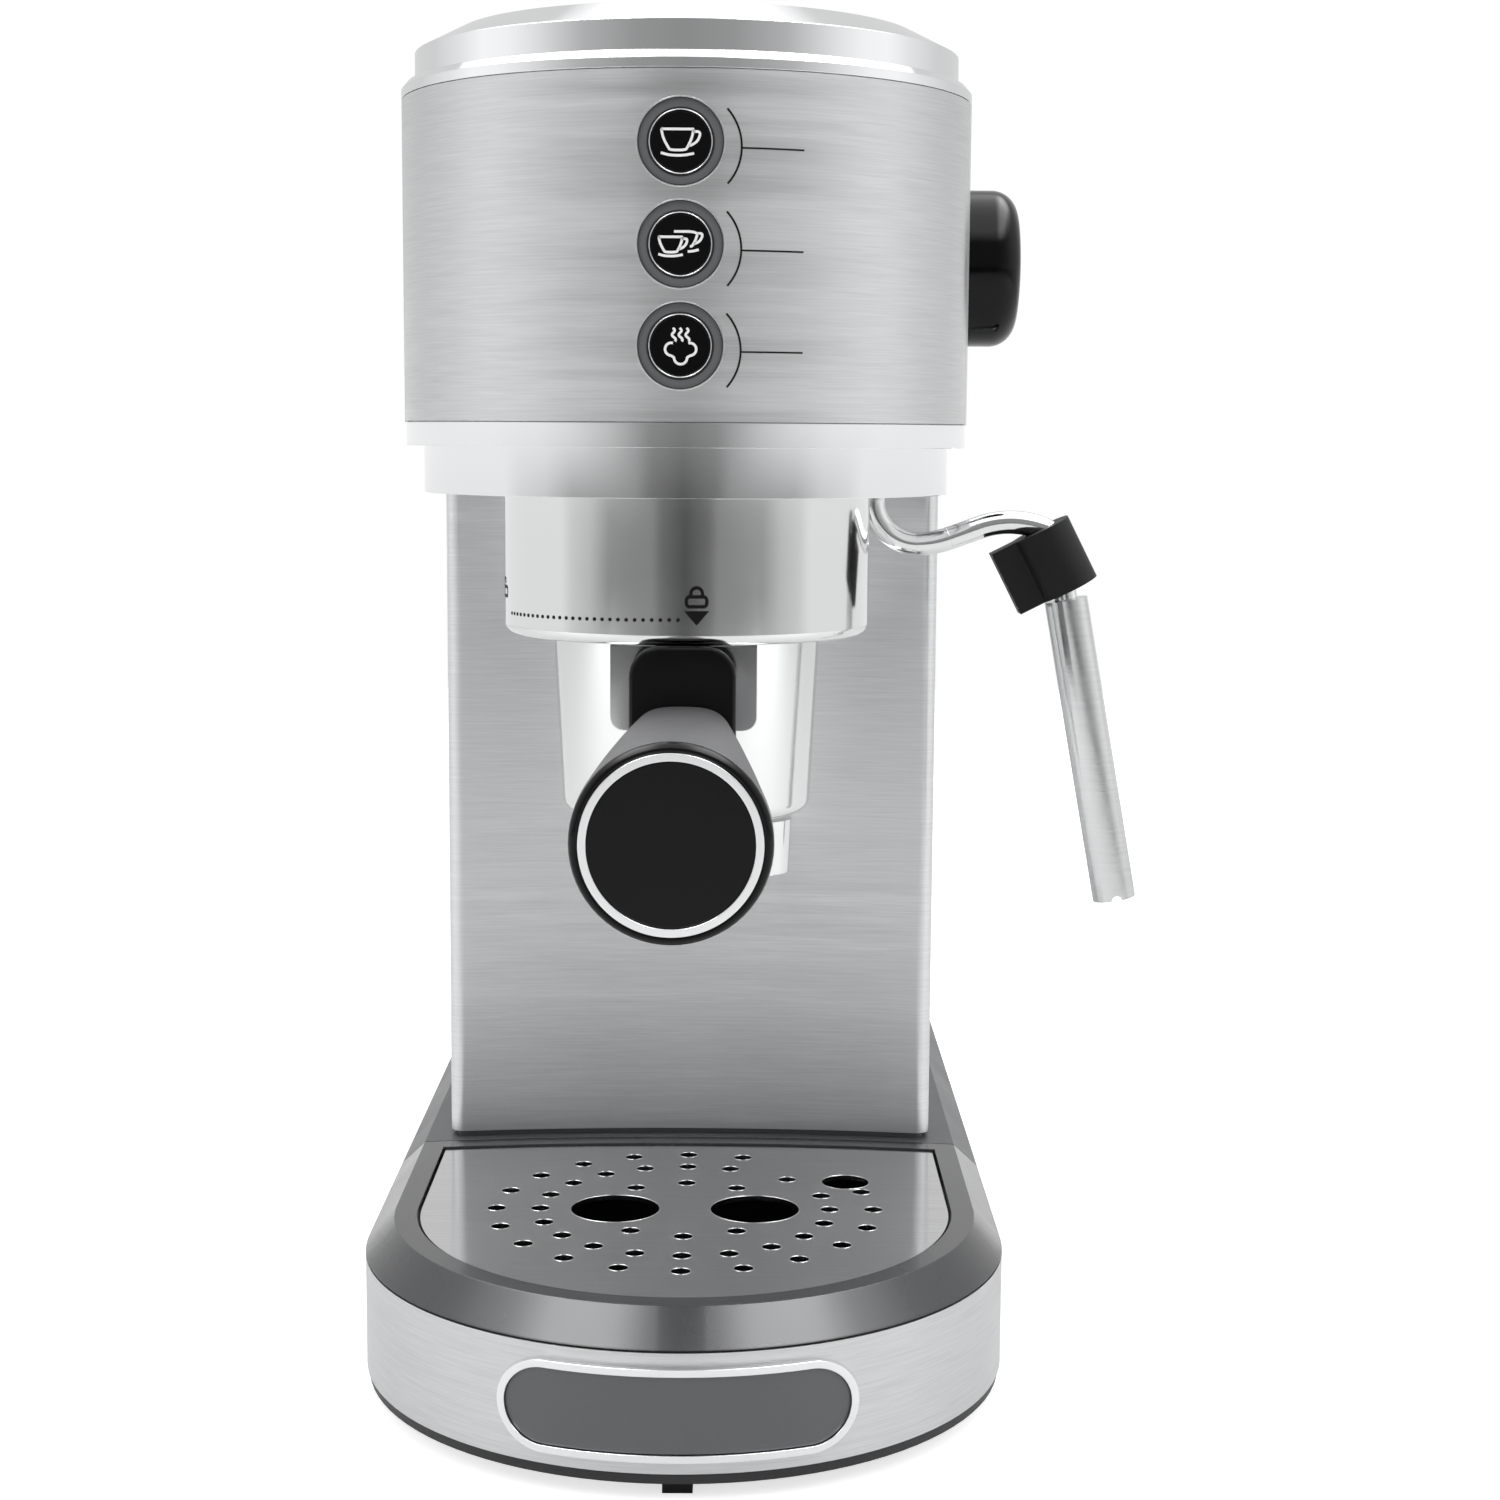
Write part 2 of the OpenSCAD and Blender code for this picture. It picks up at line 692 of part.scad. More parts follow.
module head_skirt() color("#e6e7e8") difference() {
    intersection() {
        sweep(skirt_r, head_y, column_y) bar(skirt_r, skirt_z, head_z + 1.5);
        before_bow(column_y - fit_gap, 0, far);
    }
    sweep(skirt_r - skirt_wall, head_y, column_y + 1) bar(skirt_r - skirt_wall, skirt_z + 2, far);
    translate([0, 0, skirt_z - 1]) cylinder(h = 5, r = group_r + fit_gap, $fn = 128);
    translate([wand_x, wand_y, skirt_z - 1]) cylinder(h = 5, r = tube_r + 0.8);
}

module rim_section(w) {
    polygon([[0, flange_z - (w > 0 ? 1 : 0)], [head_r - w, flange_z - (w > 0 ? 1 : 0)],
             [head_r - w, flange_z + 2 - w * 0.3], [head_r - 1.2 - w, rim_z - w * 0.7],
             [rim_r - w, rim_z + 0.3 - w * 0.7], [rim_r - w, rim_top - w * 0.4],
             [rim_r - rim_chamfer_w - w * 0.4, top_z - w], [0, top_z - w]]);
}

module top_rim() color("#e6e7e8") difference() {
    sweep(head_r, head_y, body_rear) rim_section(0);
    sweep(head_r, head_y, body_rear - rim_wall) rim_section(rim_wall);
    sweep(warmer_r - 4, head_y, body_rear - 16) bar(warmer_r - 4, rim_z, top_z + 1);
    sweep(warmer_r, head_y, body_rear - 12) bar(warmer_r, top_z - warmer_t, top_z + 1);
}

module cup_warmer_plate() color("#b9bbbd") difference() {
    sweep(warmer_r - fit_gap, head_y, body_rear - 12 - fit_gap)
        bar(warmer_r - fit_gap, top_z - warmer_t, top_z);
    for (row = [0:12], s = [-1, 1]) translate([s * 17, 16 * row - 36, top_z - 3]) {
        translate([-9, -1.6, 0]) cube([18, 3.2, 5]);
        for (x = [-9, 9]) translate([x, 0, 0]) cylinder(h = 5, r = 1.6);
    }
}

module button_bezels() color("#9a9b9d") for (z = button_rows) difference() {
    rod_y(0, z, bezel_face_y, bezel_face_y + bezel_l, bezel_r);
    rod_y(0, z, bezel_face_y - 1, bezel_face_y + bezel_l + 0.5, button_r + button_gap);
    rod_y(0, z, bezel_face_y + 1.5, bezel_face_y + bezel_l + 0.5, button_r + button_gap + 1.15);
}

module button(z) difference() {
    union() {
        rod_y(0, z, button_face_y, bezel_face_y + 1.9, button_r);
        rod_y(0, z, bezel_face_y + 1.8, bezel_face_y + 2.8, button_r + 1);
        rod_y(0, z, bezel_face_y + 2.7, board_y - 3 - button_travel - 0.2, 2.5);
    }
    rod_y(0, z, button_face_y - 1, button_face_y + 0.3, button_disc_r);
}

module single_button() color("#151516") button(button_rows[0]);

module double_button() color("#151516") button(button_rows[1]);

module steam_button() color("#151516") button(button_rows[2]);

module control_board() color("#2f6b45") difference() {
    block([-14, board_y, button_z - 31], [14, board_y + board_t, button_z + 31]);
    for (s = [-1, 1], z = [-0.5, 0.5])
        rod_y(s * switch_leg_x, button_z + z * button_pitch, board_y - 1, board_y + 5, 0.8);
}

module button_switches() color("#3b3b3d") for (z = button_rows) {
    block([-3.1, board_y - 2.4, z - 3.1], [3.1, board_y, z + 3.1]);
    rod_y(0, z, board_y - 3, board_y - 2.4 + eps, 1.7);
}

// ---- Brew group ----

module group_cover() color("#e6e7e8") rotate_extrude($fn = 128) {
    difference() {
        union() {
            translate([0, cover_z + group_edge]) square([group_r, skirt_z + 2 - cover_z - group_edge]);
            translate([0, cover_z]) square([group_r - group_edge, group_edge]);
            translate([group_r - group_edge, cover_z + group_edge]) circle(group_edge);
            translate([0, skirt_z + 2]) square([group_r + 0.9, 1.5]);
        }
        translate([0, cover_z - 1]) square([group_r - group_t, far]);
    }
}

module brew_head() color("#c9cacc") difference() {
    rotate_extrude($fn = 128) difference() {
        union() {
            translate([0, brew_z]) square([brew_r, block_z - brew_z]);
            translate([0, skirt_z + 3.5]) square([group_r, 3]);
        }
        translate([0, brew_z - 1]) square([bowl_r + 0.6, lip_h + groove_h + 4]);
        translate([0, groove_z]) square([lug_r + slide_gap, groove_h]);
        translate([bowl_foot_r - 6.6, brew_z]) square([10.2, gasket_z + gasket_h - brew_z]);
        translate([0, brew_z]) square([bowl_r - 3, gasket_z + 3 - brew_z]);
    }
    for (s = [0, 180]) rotate([0, 0, s - entry_turn - lug_angle / 2 - 3]) translate([0, 0, brew_z - 1])
        rotate_extrude(angle = lug_angle + 6) square([lug_r + slide_gap, lip_h + 1 + eps]);
    translate([0, 0, brew_z]) cylinder(h = far, r = 1.6);
    rotate([0, 0, 30]) for (a = [0:120:240]) rotate([0, 0, a]) translate([16, 0, brew_z])
        cylinder(h = far, r = 1.5);
}

module group_gasket() color("#3a2420") translate([0, 0, gasket_z]) difference() {
    cylinder(h = gasket_h, r = bowl_foot_r + 3.4);
    translate([0, 0, -1]) cylinder(h = gasket_h + 2, r = bowl_foot_r - 6.4);
}

screen_r = bowl_foot_r - 6.8;

module shower_screen() color("#c9cacc") difference() {
    translate([0, 0, gasket_z + 2]) cylinder(h = 1, r = screen_r);
    translate([0, 0, gasket_z]) cylinder(h = 4, r = 2.4);
    for (a = [0:30:330], r = [8, 14, 19]) rotate([0, 0, a + r]) translate([r, 0, gasket_z])
        cylinder(h = 4, r = 0.8, $fn = 16);
}

module screen_screw() color("#8d8e90") {
    translate([0, 0, gasket_z + 0.8]) cylinder(h = 1.2, r = 4.5);
    translate([0, 0, gasket_z + 1.9]) cylinder(h = 16, r = 1.55);
}

module thermoblock() color("#a7a9ab") {
    difference() {
        union() {
            translate([0, 0, block_z]) cylinder(h = block_disc_h + eps, r = brew_r - 1.5);
            block([-28, -24, block_z + block_disc_h], [24, block_rear, block_z + block_disc_h + block_h]);
        }
        for (i = [0:4]) block([-20 + 9 * i, -30, block_z + block_disc_h + block_h - 6],
                              [-16 + 9 * i, block_rear + 8, block_z + far]);
    }
    for (s = [-1, 1])
        rod_y(16 * s - 2, block_z + block_disc_h + 6, block_rear - eps, block_rear + port_l, 3.2);
}

block_top = block_z + block_disc_h + block_h;

module thermostat() color("#2b2b2d") {
    translate([-9.5, 0, block_top]) cylinder(h = 5, r = 7);
    for (s = [-1, 1]) block([-10.5 + 4 * s, -2, block_top + 5 - eps], [-9 + 4 * s, 2, block_top + 12]);
}

module steam_valve() color("#b08d45") difference() {
    union() {
        rod_x(valve_x - 9, shell_in_r - 4.5, wand_y, knob_z, 9);
        rod_x(24, valve_x - 8, wand_y, knob_z - 4, 3);
        translate([valve_x, wand_y, skirt_z + 7]) cylinder(h = knob_z - skirt_z - 7, r = 4.8);
    }
    rod_x(valve_x - 2, far, wand_y, knob_z, shaft_r + run_gap);
    translate([valve_x, wand_y, skirt_z - 1]) cylinder(h = 24, r = tube_r + run_gap);
}

module wand_collar() color("#1f1f20") translate([wand_x, wand_y, skirt_z + 2]) difference() {
    cylinder(h = 3.5, r = tube_r + 1.35);
    translate([0, 0, -1]) cylinder(h = 6, r = tube_r + slide_gap);
}

module pump() color("#c7b89a") translate([0, pump_y, 0]) {
    translate([0, 0, pump_z]) cylinder(h = pump_coil_h, r = pump_r, $fn = 8);
    translate([0, 0, pump_z - pump_inlet_h]) cylinder(h = pump_inlet_h + eps, r = 8);
    translate([0, 0, pump_foot]) cylinder(h = pump_tip_h + eps, r = 3);
    translate([0, 0, pump_z + pump_coil_h - eps]) cylinder(h = pump_outlet_h, r = 8);
    translate([0, 0, pump_head - pump_tip_h - eps]) cylinder(h = pump_tip_h, r = 3);
}

bush_z = [pump_z - 10, pump_z + pump_coil_h + 6];

module pump_bracket() color("#8d8e90") difference() {
    union() {
        block([-bracket_r, pump_y + bracket_y, deck_z],
              [bracket_r, pump_y + bracket_y + 2, bush_z[1] + 3]);
        block([-bracket_r, pump_y + 10, deck_z], [bracket_r, pump_y + bracket_y + 1, deck_z + 2]);
        for (z = bush_z) block([-15, pump_y - 14, z - 1], [15, pump_y + bracket_y + 1, z + 1]);
    }
    for (z = bush_z) translate([0, pump_y, z - 3]) cylinder(h = 6, r = 11);
}

module pump_bushes() color("#1f1f20") for (z = bush_z) translate([0, pump_y, z - 2.5]) difference() {
    union() {
        cylinder(h = 5, r = 10.8);
        cylinder(h = 1.3, r = 12.5);
        translate([0, 0, 3.7]) cylinder(h = 1.3, r = 12.5);
    }
    translate([0, 0, -1]) cylinder(h = 7, r = 8 + run_gap);
}

// A hose's bend from +Y to +Z, slightly thinner and run on into the straights
module quarter_bend(r) {
    a = 0.4 / hose_bend * 180 / PI;
    rotate([90, 0, 90]) rotate([0, 0, -a]) rotate_extrude(angle = 90 + 2 * a)
        translate([hose_bend, 0]) circle(r - 0.02, $fn = 32);
}

hose_z = pan_top + suction_r + 4;

module suction_hose() color("#d8d2c4") {
    y0 = pump_y + hose_bend;
    y1 = socket_y - hose_bend;
    z1 = hose_z + hose_bend;
    translate([0, pump_y, z1]) cylinder(h = pump_foot - z1, r = suction_r, $fn = 32);
    translate([0, y0, z1]) rotate([180, 0, 0]) quarter_bend(suction_r);
    translate([0, y0, hose_z]) rotate([-90, 0, 0]) cylinder(h = y1 - y0, r = suction_r, $fn = 32);
    translate([0, y1, z1]) mirror([0, 0, 1]) quarter_bend(suction_r);
    translate([0, socket_y, z1]) cylinder(h = deck_z - 12 - z1, r = suction_r, $fn = 32);
}

pressure_z = block_z + block_disc_h + 6;

module pressure_hose() color("#e8e4da") {
    translate([0, pump_y, pump_head])
        cylinder(h = pressure_z - hose_bend - pump_head, r = pressure_r, $fn = 32);
    translate([0, pump_y - hose_bend, pressure_z - hose_bend]) quarter_bend(pressure_r);
    translate([0, block_rear, pressure_z]) rotate([-90, 0, 0])
        cylinder(h = pump_y - hose_bend - block_rear, r = pressure_r, $fn = 32);
}

// ---- Rear fittings ----

module tank_socket() color("#1f1f20") translate([0, socket_y, 0]) difference() {
    union() {
        translate([0, 0, deck_z]) cylinder(h = pocket_h - 5, r = socket_r);
        translate([0, 0, deck_z - 8]) cylinder(h = 8 + eps, r = socket_r - 2);
        translate([0, 0, deck_z - 12 + eps]) cylinder(h = 4, r = suction_r - 0.5);
    }
    translate([0, 0, deck_z - 6]) cylinder(h = far, r = valve_r - 1.5);
}

module cord_gland() color("#1f1f20") difference() {
    union() {
        rod_y(-inlet_x, inlet_z, base_rear, base_rear + 1.6, gland_r + 4);
        rod_y(-inlet_x, inlet_z, base_rear - 7, base_rear + eps, gland_r + 2.4);
        rod_y(-inlet_x, inlet_z, base_rear - 9, base_rear - base_wall - fit_gap, gland_r + 3.6);
    }
    rod_y(-inlet_x, inlet_z, base_rear - 12, base_rear + 5, gland_r);
}

rocker_y = base_rear - 4.5;

module switch_frame() color("#1f1f20") difference() {
    union() {
        block([inlet_x - rocker_w - 3, base_rear, inlet_z - rocker_h - 3],
              [inlet_x + rocker_w + 3, base_rear + 1.4, inlet_z + rocker_h + 3]);
        block([inlet_x - rocker_w - 1.2, base_rear - 12, inlet_z - rocker_h - 1.2],
              [inlet_x + rocker_w + 1.2, base_rear + eps, inlet_z + rocker_h + 1.2]);
    }
    block([inlet_x - rocker_w, base_rear - 10.5, inlet_z - rocker_h],
          [inlet_x + rocker_w, base_rear + 5, inlet_z + rocker_h]);
    rod_x(inlet_x - rocker_w - 0.8, inlet_x + rocker_w + 0.8, rocker_y, inlet_z, 1.5 + run_gap);
}

module power_rocker() color("#161617") {
    w = rocker_w - slide_gap;
    h = rocker_h - 0.8;
    translate([inlet_x, rocker_y, inlet_z]) rotate([rocker_tilt, 0, 0]) {
        translate([-w, 0, 0]) rotate([90, 0, 90]) linear_extrude(2 * w)
            polygon([[-2.5, -3], [2, -h + 0.3], [5.2, -h], [3.6, 0], [5.2, h], [2, h - 0.3], [-2.5, 3]]);
        rod_x(-rocker_w - 0.6, rocker_w + 0.6, 0, 0, 1.5);
    }
}

// ---- Drip tray ----

module plate_form(r, back, z0, z1) {
    intersection() {
        sweep(r, 0, back) bar(r, z0, z1);
        before_bow(back, z0 - 1, z1 + 1);
    }
}

module tray_bin() color("#4a4b4d") difference() {
    union() {
        difference() {
            intersection() {
                sweep(bin_r, 0, far / 2) {
                    bar(bin_r, tray_z, bin_z - 4.7);
                    bar(bin_r - 2.3, tray_z, bin_z);
                }
                before_bow(seam_y + seam_slope - 2.2, 0, far);
            }
            intersection() {
                sweep(bin_r - 2.3 - bin_wall, 0, far / 2)
                    bar(bin_r - 2.3 - bin_wall, tray_z + bin_wall, far);
                before_bow(seam_y + seam_slope - 2.2 - bin_wall, 0, far);
            }
        }
        for (s = [-1, 1]) block([s * rail_x - rail_w / 2 - 2.3, -50, tray_z],
                                [s * rail_x + rail_w / 2 + 2.3, 50, tray_z + rail_h + 2]);
    }
    for (s = [-1, 1]) block([s * rail_x - rail_w / 2 - slide_gap, -far, tray_z - 1],
                            [s * rail_x + rail_w / 2 + slide_gap, far, tray_z + rail_h]);
}

module tray_frame() color("#58595b") difference() {
    intersection() {
        sweep(base_r, 0, far / 2) {
            polygon([[0, shoulder_z - 0.4], [bin_r, shoulder_z - 0.4], [bin_r, shoulder_z],
                     [base_r, shoulder_z], [deck_r, deck_z], [0, deck_z]]);
            bar(bin_r, shoulder_z - 5, shoulder_z);
        }
        before_seam();
    }
    sweep(bin_r - 2, 0, far) bar(bin_r - 2, 0, shoulder_z - 0.4);
    plate_form(ring_r, plate_back + plate_gap, ledge_z, far);
    plate_form(ring_r - 3.5, plate_back - 3, 0, far);
}

module tray_band() color("#c3c5c7") difference() {
    intersection() {
        sweep(base_r, 0, far / 2) bar(base_r, tray_z, shoulder_z - 0.5);
        before_bow(seam_y + seam_slope - 0.3, 0, far);
    }
    sweep(base_r - band_t, 0, far) bar(base_r - band_t, 0, far);
}

// Pill outline, drawn in by inset
module pill(inset) {
    h = badge_h - 2 * inset;
    w = badge_w - badge_h;
    translate([-w / 2, -h / 2]) square([w, h]);
    for (s = [-1, 1]) translate([s * w / 2, 0]) circle(h / 2);
}

// A flat outline wrapped on the front of the band, t thick
module on_band(t) {
    intersection() {
        translate([0, 0, (tray_z + shoulder_z - 0.5) / 2]) rotate([90, 0, 0]) linear_extrude(far) children();
        difference() {
            cylinder(h = far, r = base_r + t, $fn = 128);
            translate([0, 0, -1]) cylinder(h = far + 2, r = base_r, $fn = 128);
        }
    }
}

module badge_rim() color("#e6e7e8") on_band(badge_t) difference() {
    pill(0);
    pill(badge_rim_w);
}

module badge_plaque() color("#3a3b3d") on_band(badge_t - 0.6) pill(badge_rim_w + fit_gap);

drain_step = 18;
// Positions on the outer and middle circles, counted clockwise from the back, that stay closed
outer_closed = [2, 3];
middle_closed = [2, 3];
side_hole_turn = 60.6;
inner_turn = 36.5;

module drain_circle(r, closed) {
    for (i = [0:19]) if (len(search(i, closed)) == 0)
        rotate([0, 0, 90 - drain_step * i]) translate([r, 0, 0]) children();
}

module drip_plate() color("#b9bbbd") difference() {
    plate_form(plate_r, plate_back, ledge_z, plate_z);
    plate_form(plate_r - plate_t, plate_back - plate_t, ledge_z - 1, plate_z - plate_t);
    translate([0, 0, plate_z - 4]) {
        drain_circle(drain_outer_r, outer_closed) cylinder(h = 8, r = drain_r, $fn = 24);
        drain_circle(drain_middle_r, middle_closed) cylinder(h = 8, r = drain_r, $fn = 24);
        rotate([0, 0, 90 - 2.55 * drain_step]) translate([drain_middle_r, 0, 0])
            cylinder(h = 8, r = drain_r, $fn = 24);
        for (side = [90, 270], t = [-inner_turn, 0, inner_turn])
            rotate([0, 0, side + t]) translate([drain_inner_r, 0, 0]) cylinder(h = 8, r = drain_r, $fn = 24);
        for (s = [-1, 1]) translate([s * spout_x, 0, 0]) cylinder(h = 8, r = cup_hole_r);
        rotate([0, 0, 90 - side_hole_turn]) translate([drain_outer_r, 0, 0])
            cylinder(h = 8, r = side_hole_r);
    }
}

// ---- Portafilter ----

module bowl_profile() {
    difference() {
        union() {
            polygon([[0, bowl_z], [bowl_foot_r - bowl_edge, bowl_z], [bowl_foot_r, bowl_z + bowl_edge],
                     [bowl_r, bowl_top - 14], [bowl_r, bowl_top], [0, bowl_top]]);
            translate([bowl_foot_r - bowl_edge, bowl_z + bowl_edge]) circle(bowl_edge);
        }
        translate([0, bowl_z + bowl_wall]) square([bowl_foot_r - bowl_wall, bowl_h]);
        translate([0, bowl_z - 1]) square([4, bowl_wall + 2]);
    }
}

module portafilter_bowl() color("#e6e7e8") {
    difference() {
        union() {
            rotate_extrude($fn = 96) bowl_profile();
            for (s = [0, 180]) rotate([0, 0, s - lug_angle / 2]) translate([0, 0, groove_z + slide_gap])
                rotate_extrude(angle = lug_angle) translate([bowl_r - 1, 0])
                    square([lug_r - bowl_r + 1, groove_h - 2 * slide_gap]);
            difference() {
                union() {
                    block([-boss_w / 2, -boss_front, cover_z - boss_h + 3],
                          [boss_w / 2, -20, cover_z - slide_gap - 0.2]);
                    block([3 - boss_w / 2, -boss_front, cover_z - boss_h],
                          [boss_w / 2 - 3, -20, cover_z - 5]);
                    for (s = [-1, 1]) rod_y(s * (boss_w / 2 - 3), cover_z - boss_h + 3, -boss_front, -20, 3);
                    block([4 - neck_w / 2, -boss_front, grip_z], [neck_w / 2 - 4, -20, cover_z - 5]);
                    rod_y(0, grip_z, -boss_front, -20, neck_w / 2 - 4);
                }
                translate([0, 0, bowl_z]) cylinder(h = bowl_h, r = bowl_foot_r - 1);
            }
        }
        rod_y(0, grip_z, -boss_front - 1, -boss_front + bolt_in + 1, bolt_r + run_gap);
    }
}

module double_spout() color("#e6e7e8") difference() {
    union() {
        translate([0, 0, bowl_z - spout_hub_h]) cylinder(h = spout_hub_h, r = spout_hub_r);
        block([-spout_x, -spout_bar_r, bowl_z - spout_hub_h], [spout_x, spout_bar_r, bowl_z - 2.2]);
        for (s = [-1, 1]) translate([s * spout_x, 0, spout_z])
            cylinder(h = spout_h - 2.2, r1 = spout_tip_r, r2 = spout_r);
    }
    translate([0, 0, bowl_z - 6]) cylinder(h = 8, r = 4);
    block([-spout_x, -3, bowl_z - 6], [spout_x, 3, bowl_z - 3.4]);
    for (s = [-1, 1]) translate([s * spout_x, 0, spout_z - 1])
        cylinder(h = spout_h - 3.4 + 1, r = spout_bore_r);
}

basket_r = bowl_foot_r - bowl_wall - 0.8;

module filter_basket() color("#c9cacc") difference() {
    translate([0, 0, bowl_top - basket_h]) union() {
        cylinder(h = basket_h + basket_lip, r = basket_r);
        translate([0, 0, basket_h]) cylinder(h = basket_lip, r = bowl_r - 0.6);
    }
    translate([0, 0, bowl_top - basket_h + basket_t]) cylinder(h = far, r = basket_r - basket_t);
    translate([0, 0, bowl_top - basket_h - 1]) {
        cylinder(h = 5, r = 0.9, $fn = 16);
        for (ring = [1:3], i = [0:6 * ring - 1]) rotate([0, 0, 360 / (6 * ring) * i])
            translate([6 * ring, 0, 0]) cylinder(h = 5, r = 0.9, $fn = 16);
    }
}

module basket_clip() color("#8d8e90") translate([0, 0, bowl_top - 9]) difference() {
    cylinder(h = 1.2, r = bowl_foot_r - bowl_wall - 0.1);
    translate([0, 0, -1]) cylinder(h = 4, r = basket_r + 0.1);
    rotate([0, 0, 80]) translate([0, -3, -1]) cube([far, 6, 4]);
}

bolt_in = 5;
bolt_seat = 14;
arch_top = cover_z - slide_gap - 0.6;

module handle_neck() color("#1f1f20") difference() {
    translate([0, -boss_front, 0]) rotate([90, 0, 0]) linear_extrude(neck_front - boss_front) {
        translate([-neck_w / 2, grip_z - 9]) square([neck_w, arch_top - neck_w / 2 - grip_z + 9]);
        translate([0, arch_top - neck_w / 2]) circle(neck_w / 2);
        translate([0, grip_z]) circle(neck_w / 2);
    }
    rod_y(0, grip_z, -neck_front - 1, -boss_front + 1, bolt_r + run_gap);
}

// Frame of the handle, with +Z out along its axis from the neck
module on_handle() {
    translate([0, -neck_front - fit_gap, grip_z]) rotate([90 + grip_tilt, 0, 0]) children();
}

module handle_grip() color("#4a4b4d") on_handle() difference() {
    translate([0, 0, 0.3]) rotate_extrude($fn = 96) difference() {
        union() {
            polygon([[0, 0], [grip_r - 1, 0], [grip_r, 1], [grip_r + 2.4, grip_l * 0.4],
                     [grip_end_r, grip_l * 0.93], [grip_end_r, grip_l - grip_edge],
                     [grip_end_r - grip_edge, grip_l], [0, grip_l]]);
            translate([grip_end_r - grip_edge, grip_l - grip_edge]) circle(grip_edge);
        }
        translate([0, grip_l - 2.6]) square([cap_ring_r + 0.1, 5]);
    }
    translate([0, 0, -5]) cylinder(h = 36, r = bolt_r + 0.6);
    translate([0, 0, bolt_seat]) cylinder(h = 24, r = bolt_r + 2.4);
}

module cap_ring() color("#e6e7e8") on_handle() translate([0, 0, grip_l - 2.3]) difference() {
    cylinder(h = 2.8, r = cap_ring_r);
    translate([0, 0, -1]) cylinder(h = 5, r = cap_ring_r - cap_ring_w);
}

module end_cap() color("#111112") on_handle() translate([0, 0, grip_l - 2.3])
    cylinder(h = 2.4, r = cap_ring_r - cap_ring_w - 0.1);

module handle_bolt() color("#8d8e90") {
    rod_y(0, grip_z, -neck_front - bolt_seat - 1, -boss_front + bolt_in, bolt_r);
    seat = -neck_front - fit_gap - bolt_seat - 0.1;
    rod_y(0, grip_z, seat - 3, seat, bolt_r + 1.7);
}

// ---- Steam wand and knob ----

knob_face = head_r + slide_gap;

module steam_knob() color("#161617") translate([0, wand_y, knob_z]) rotate([0, 90, 0]) {
    difference() {
        translate([0, 0, knob_face]) rotate_extrude($fn = 96) union() {
            square([knob_r, knob_h - knob_edge]);
            square([knob_r - knob_edge, knob_h]);
            translate([knob_r - knob_edge, knob_h - knob_edge]) intersection() {
                circle(knob_edge);
                square(knob_edge + 1);
            }
        }
        translate([0, 0, knob_face - 1]) difference() {
            cylinder(h = 4, r = knob_r - 2.5);
            cylinder(h = 9, r = shaft_r + 2);
        }
    }
    translate([0, 0, valve_x + 1]) cylinder(h = knob_face - valve_x - 1 + eps, r = shaft_r);
}

// Where the wand's bends begin and end, in the plane of the wand
rise_x0 = wand_x + bend_r;
rise_z0 = bend_z - bend_r;
rise_x1 = rise_x0 + rise_r * sin(rise_angle);
rise_z1 = rise_z0 + rise_r * (1 - cos(rise_angle));
rise_x2 = rise_x1 + rise_l * cos(rise_angle);
rise_z2 = rise_z1 + rise_l * sin(rise_angle);
crest_x = rise_x2 + crest_r * sin(rise_angle);
crest_z = rise_z2 - crest_r * cos(rise_angle);
drop_x = crest_x + (crest_r - drop_r) * sin(entry_angle);
drop_z = crest_z + (crest_r - drop_r) * cos(entry_angle);
sleeve_x0 = drop_x + drop_r * cos(sleeve_lean);
sleeve_z0 = drop_z + drop_r * sin(sleeve_lean);

// Bend about a centre in the wand's plane, with angles from +X towards +Z and
// with both ends run on by a little
module wand_bend(x, z, bend, a0, a1, r, on = 0) {
    a = on / bend * 180 / PI;
    translate([x, wand_y, z]) rotate([90, 0, 0]) rotate([0, 0, a0 - a])
        rotate_extrude(angle = a1 - a0 + 2 * a) translate([bend, 0]) circle(r, $fn = 32);
}

// The wand's whole line as a rod, in which every other length runs into its neighbours
module wand_line(r, top) {
    inner = r - 0.02;
    on = 0.4;
    translate([wand_x, wand_y, bend_z]) cylinder(h = top, r = r, $fn = 32);
    wand_bend(rise_x0, bend_z, bend_r, 180, 270, inner, on);
    wand_bend(rise_x0, rise_z0 + rise_r, rise_r, 270, 270 + rise_angle, r);
    translate([rise_x1, wand_y, rise_z1]) rotate([0, 90 - rise_angle, 0])
        translate([0, 0, -on]) cylinder(h = rise_l + 2 * on, r = inner, $fn = 32);
    wand_bend(crest_x, crest_z, crest_r, 90 - entry_angle, 90 + rise_angle, r);
    wand_bend(drop_x, drop_z, drop_r, sleeve_lean, 90 - entry_angle, inner, on);
    on_wand() cylinder(h = holder_gap + sleeve_l * 0.8, r = r, $fn = 32);
}

// Frame at the upper end of the wand's last straight, with +Z down along it
module on_wand() {
    translate([sleeve_x0, wand_y, sleeve_z0]) rotate([0, 180 - sleeve_lean, 0]) children();
}

holder_gap = 12.7;

module steam_tube() color("#e6e7e8") wand_line(tube_r, skirt_z + 16 - bend_z);

// Frame of the rubber grip, centred on it, with +Z down along it
module on_holder() {
    translate([sleeve_x0 - 0.8, wand_y, sleeve_z0 - 3]) rotate([0, 180 - holder_lean, 0]) children();
}

module wand_grip() color("#1b1b1c") difference() {
    on_holder() {
        translate([0, 0, -holder_l / 2]) cylinder(h = holder_l, r = holder_r);
        translate([holder_r - 3, -3.5, -holder_l / 2]) cube([8.5, 7, holder_l]);
    }
    wand_line(tube_r + fit_gap / 2, 5);
}

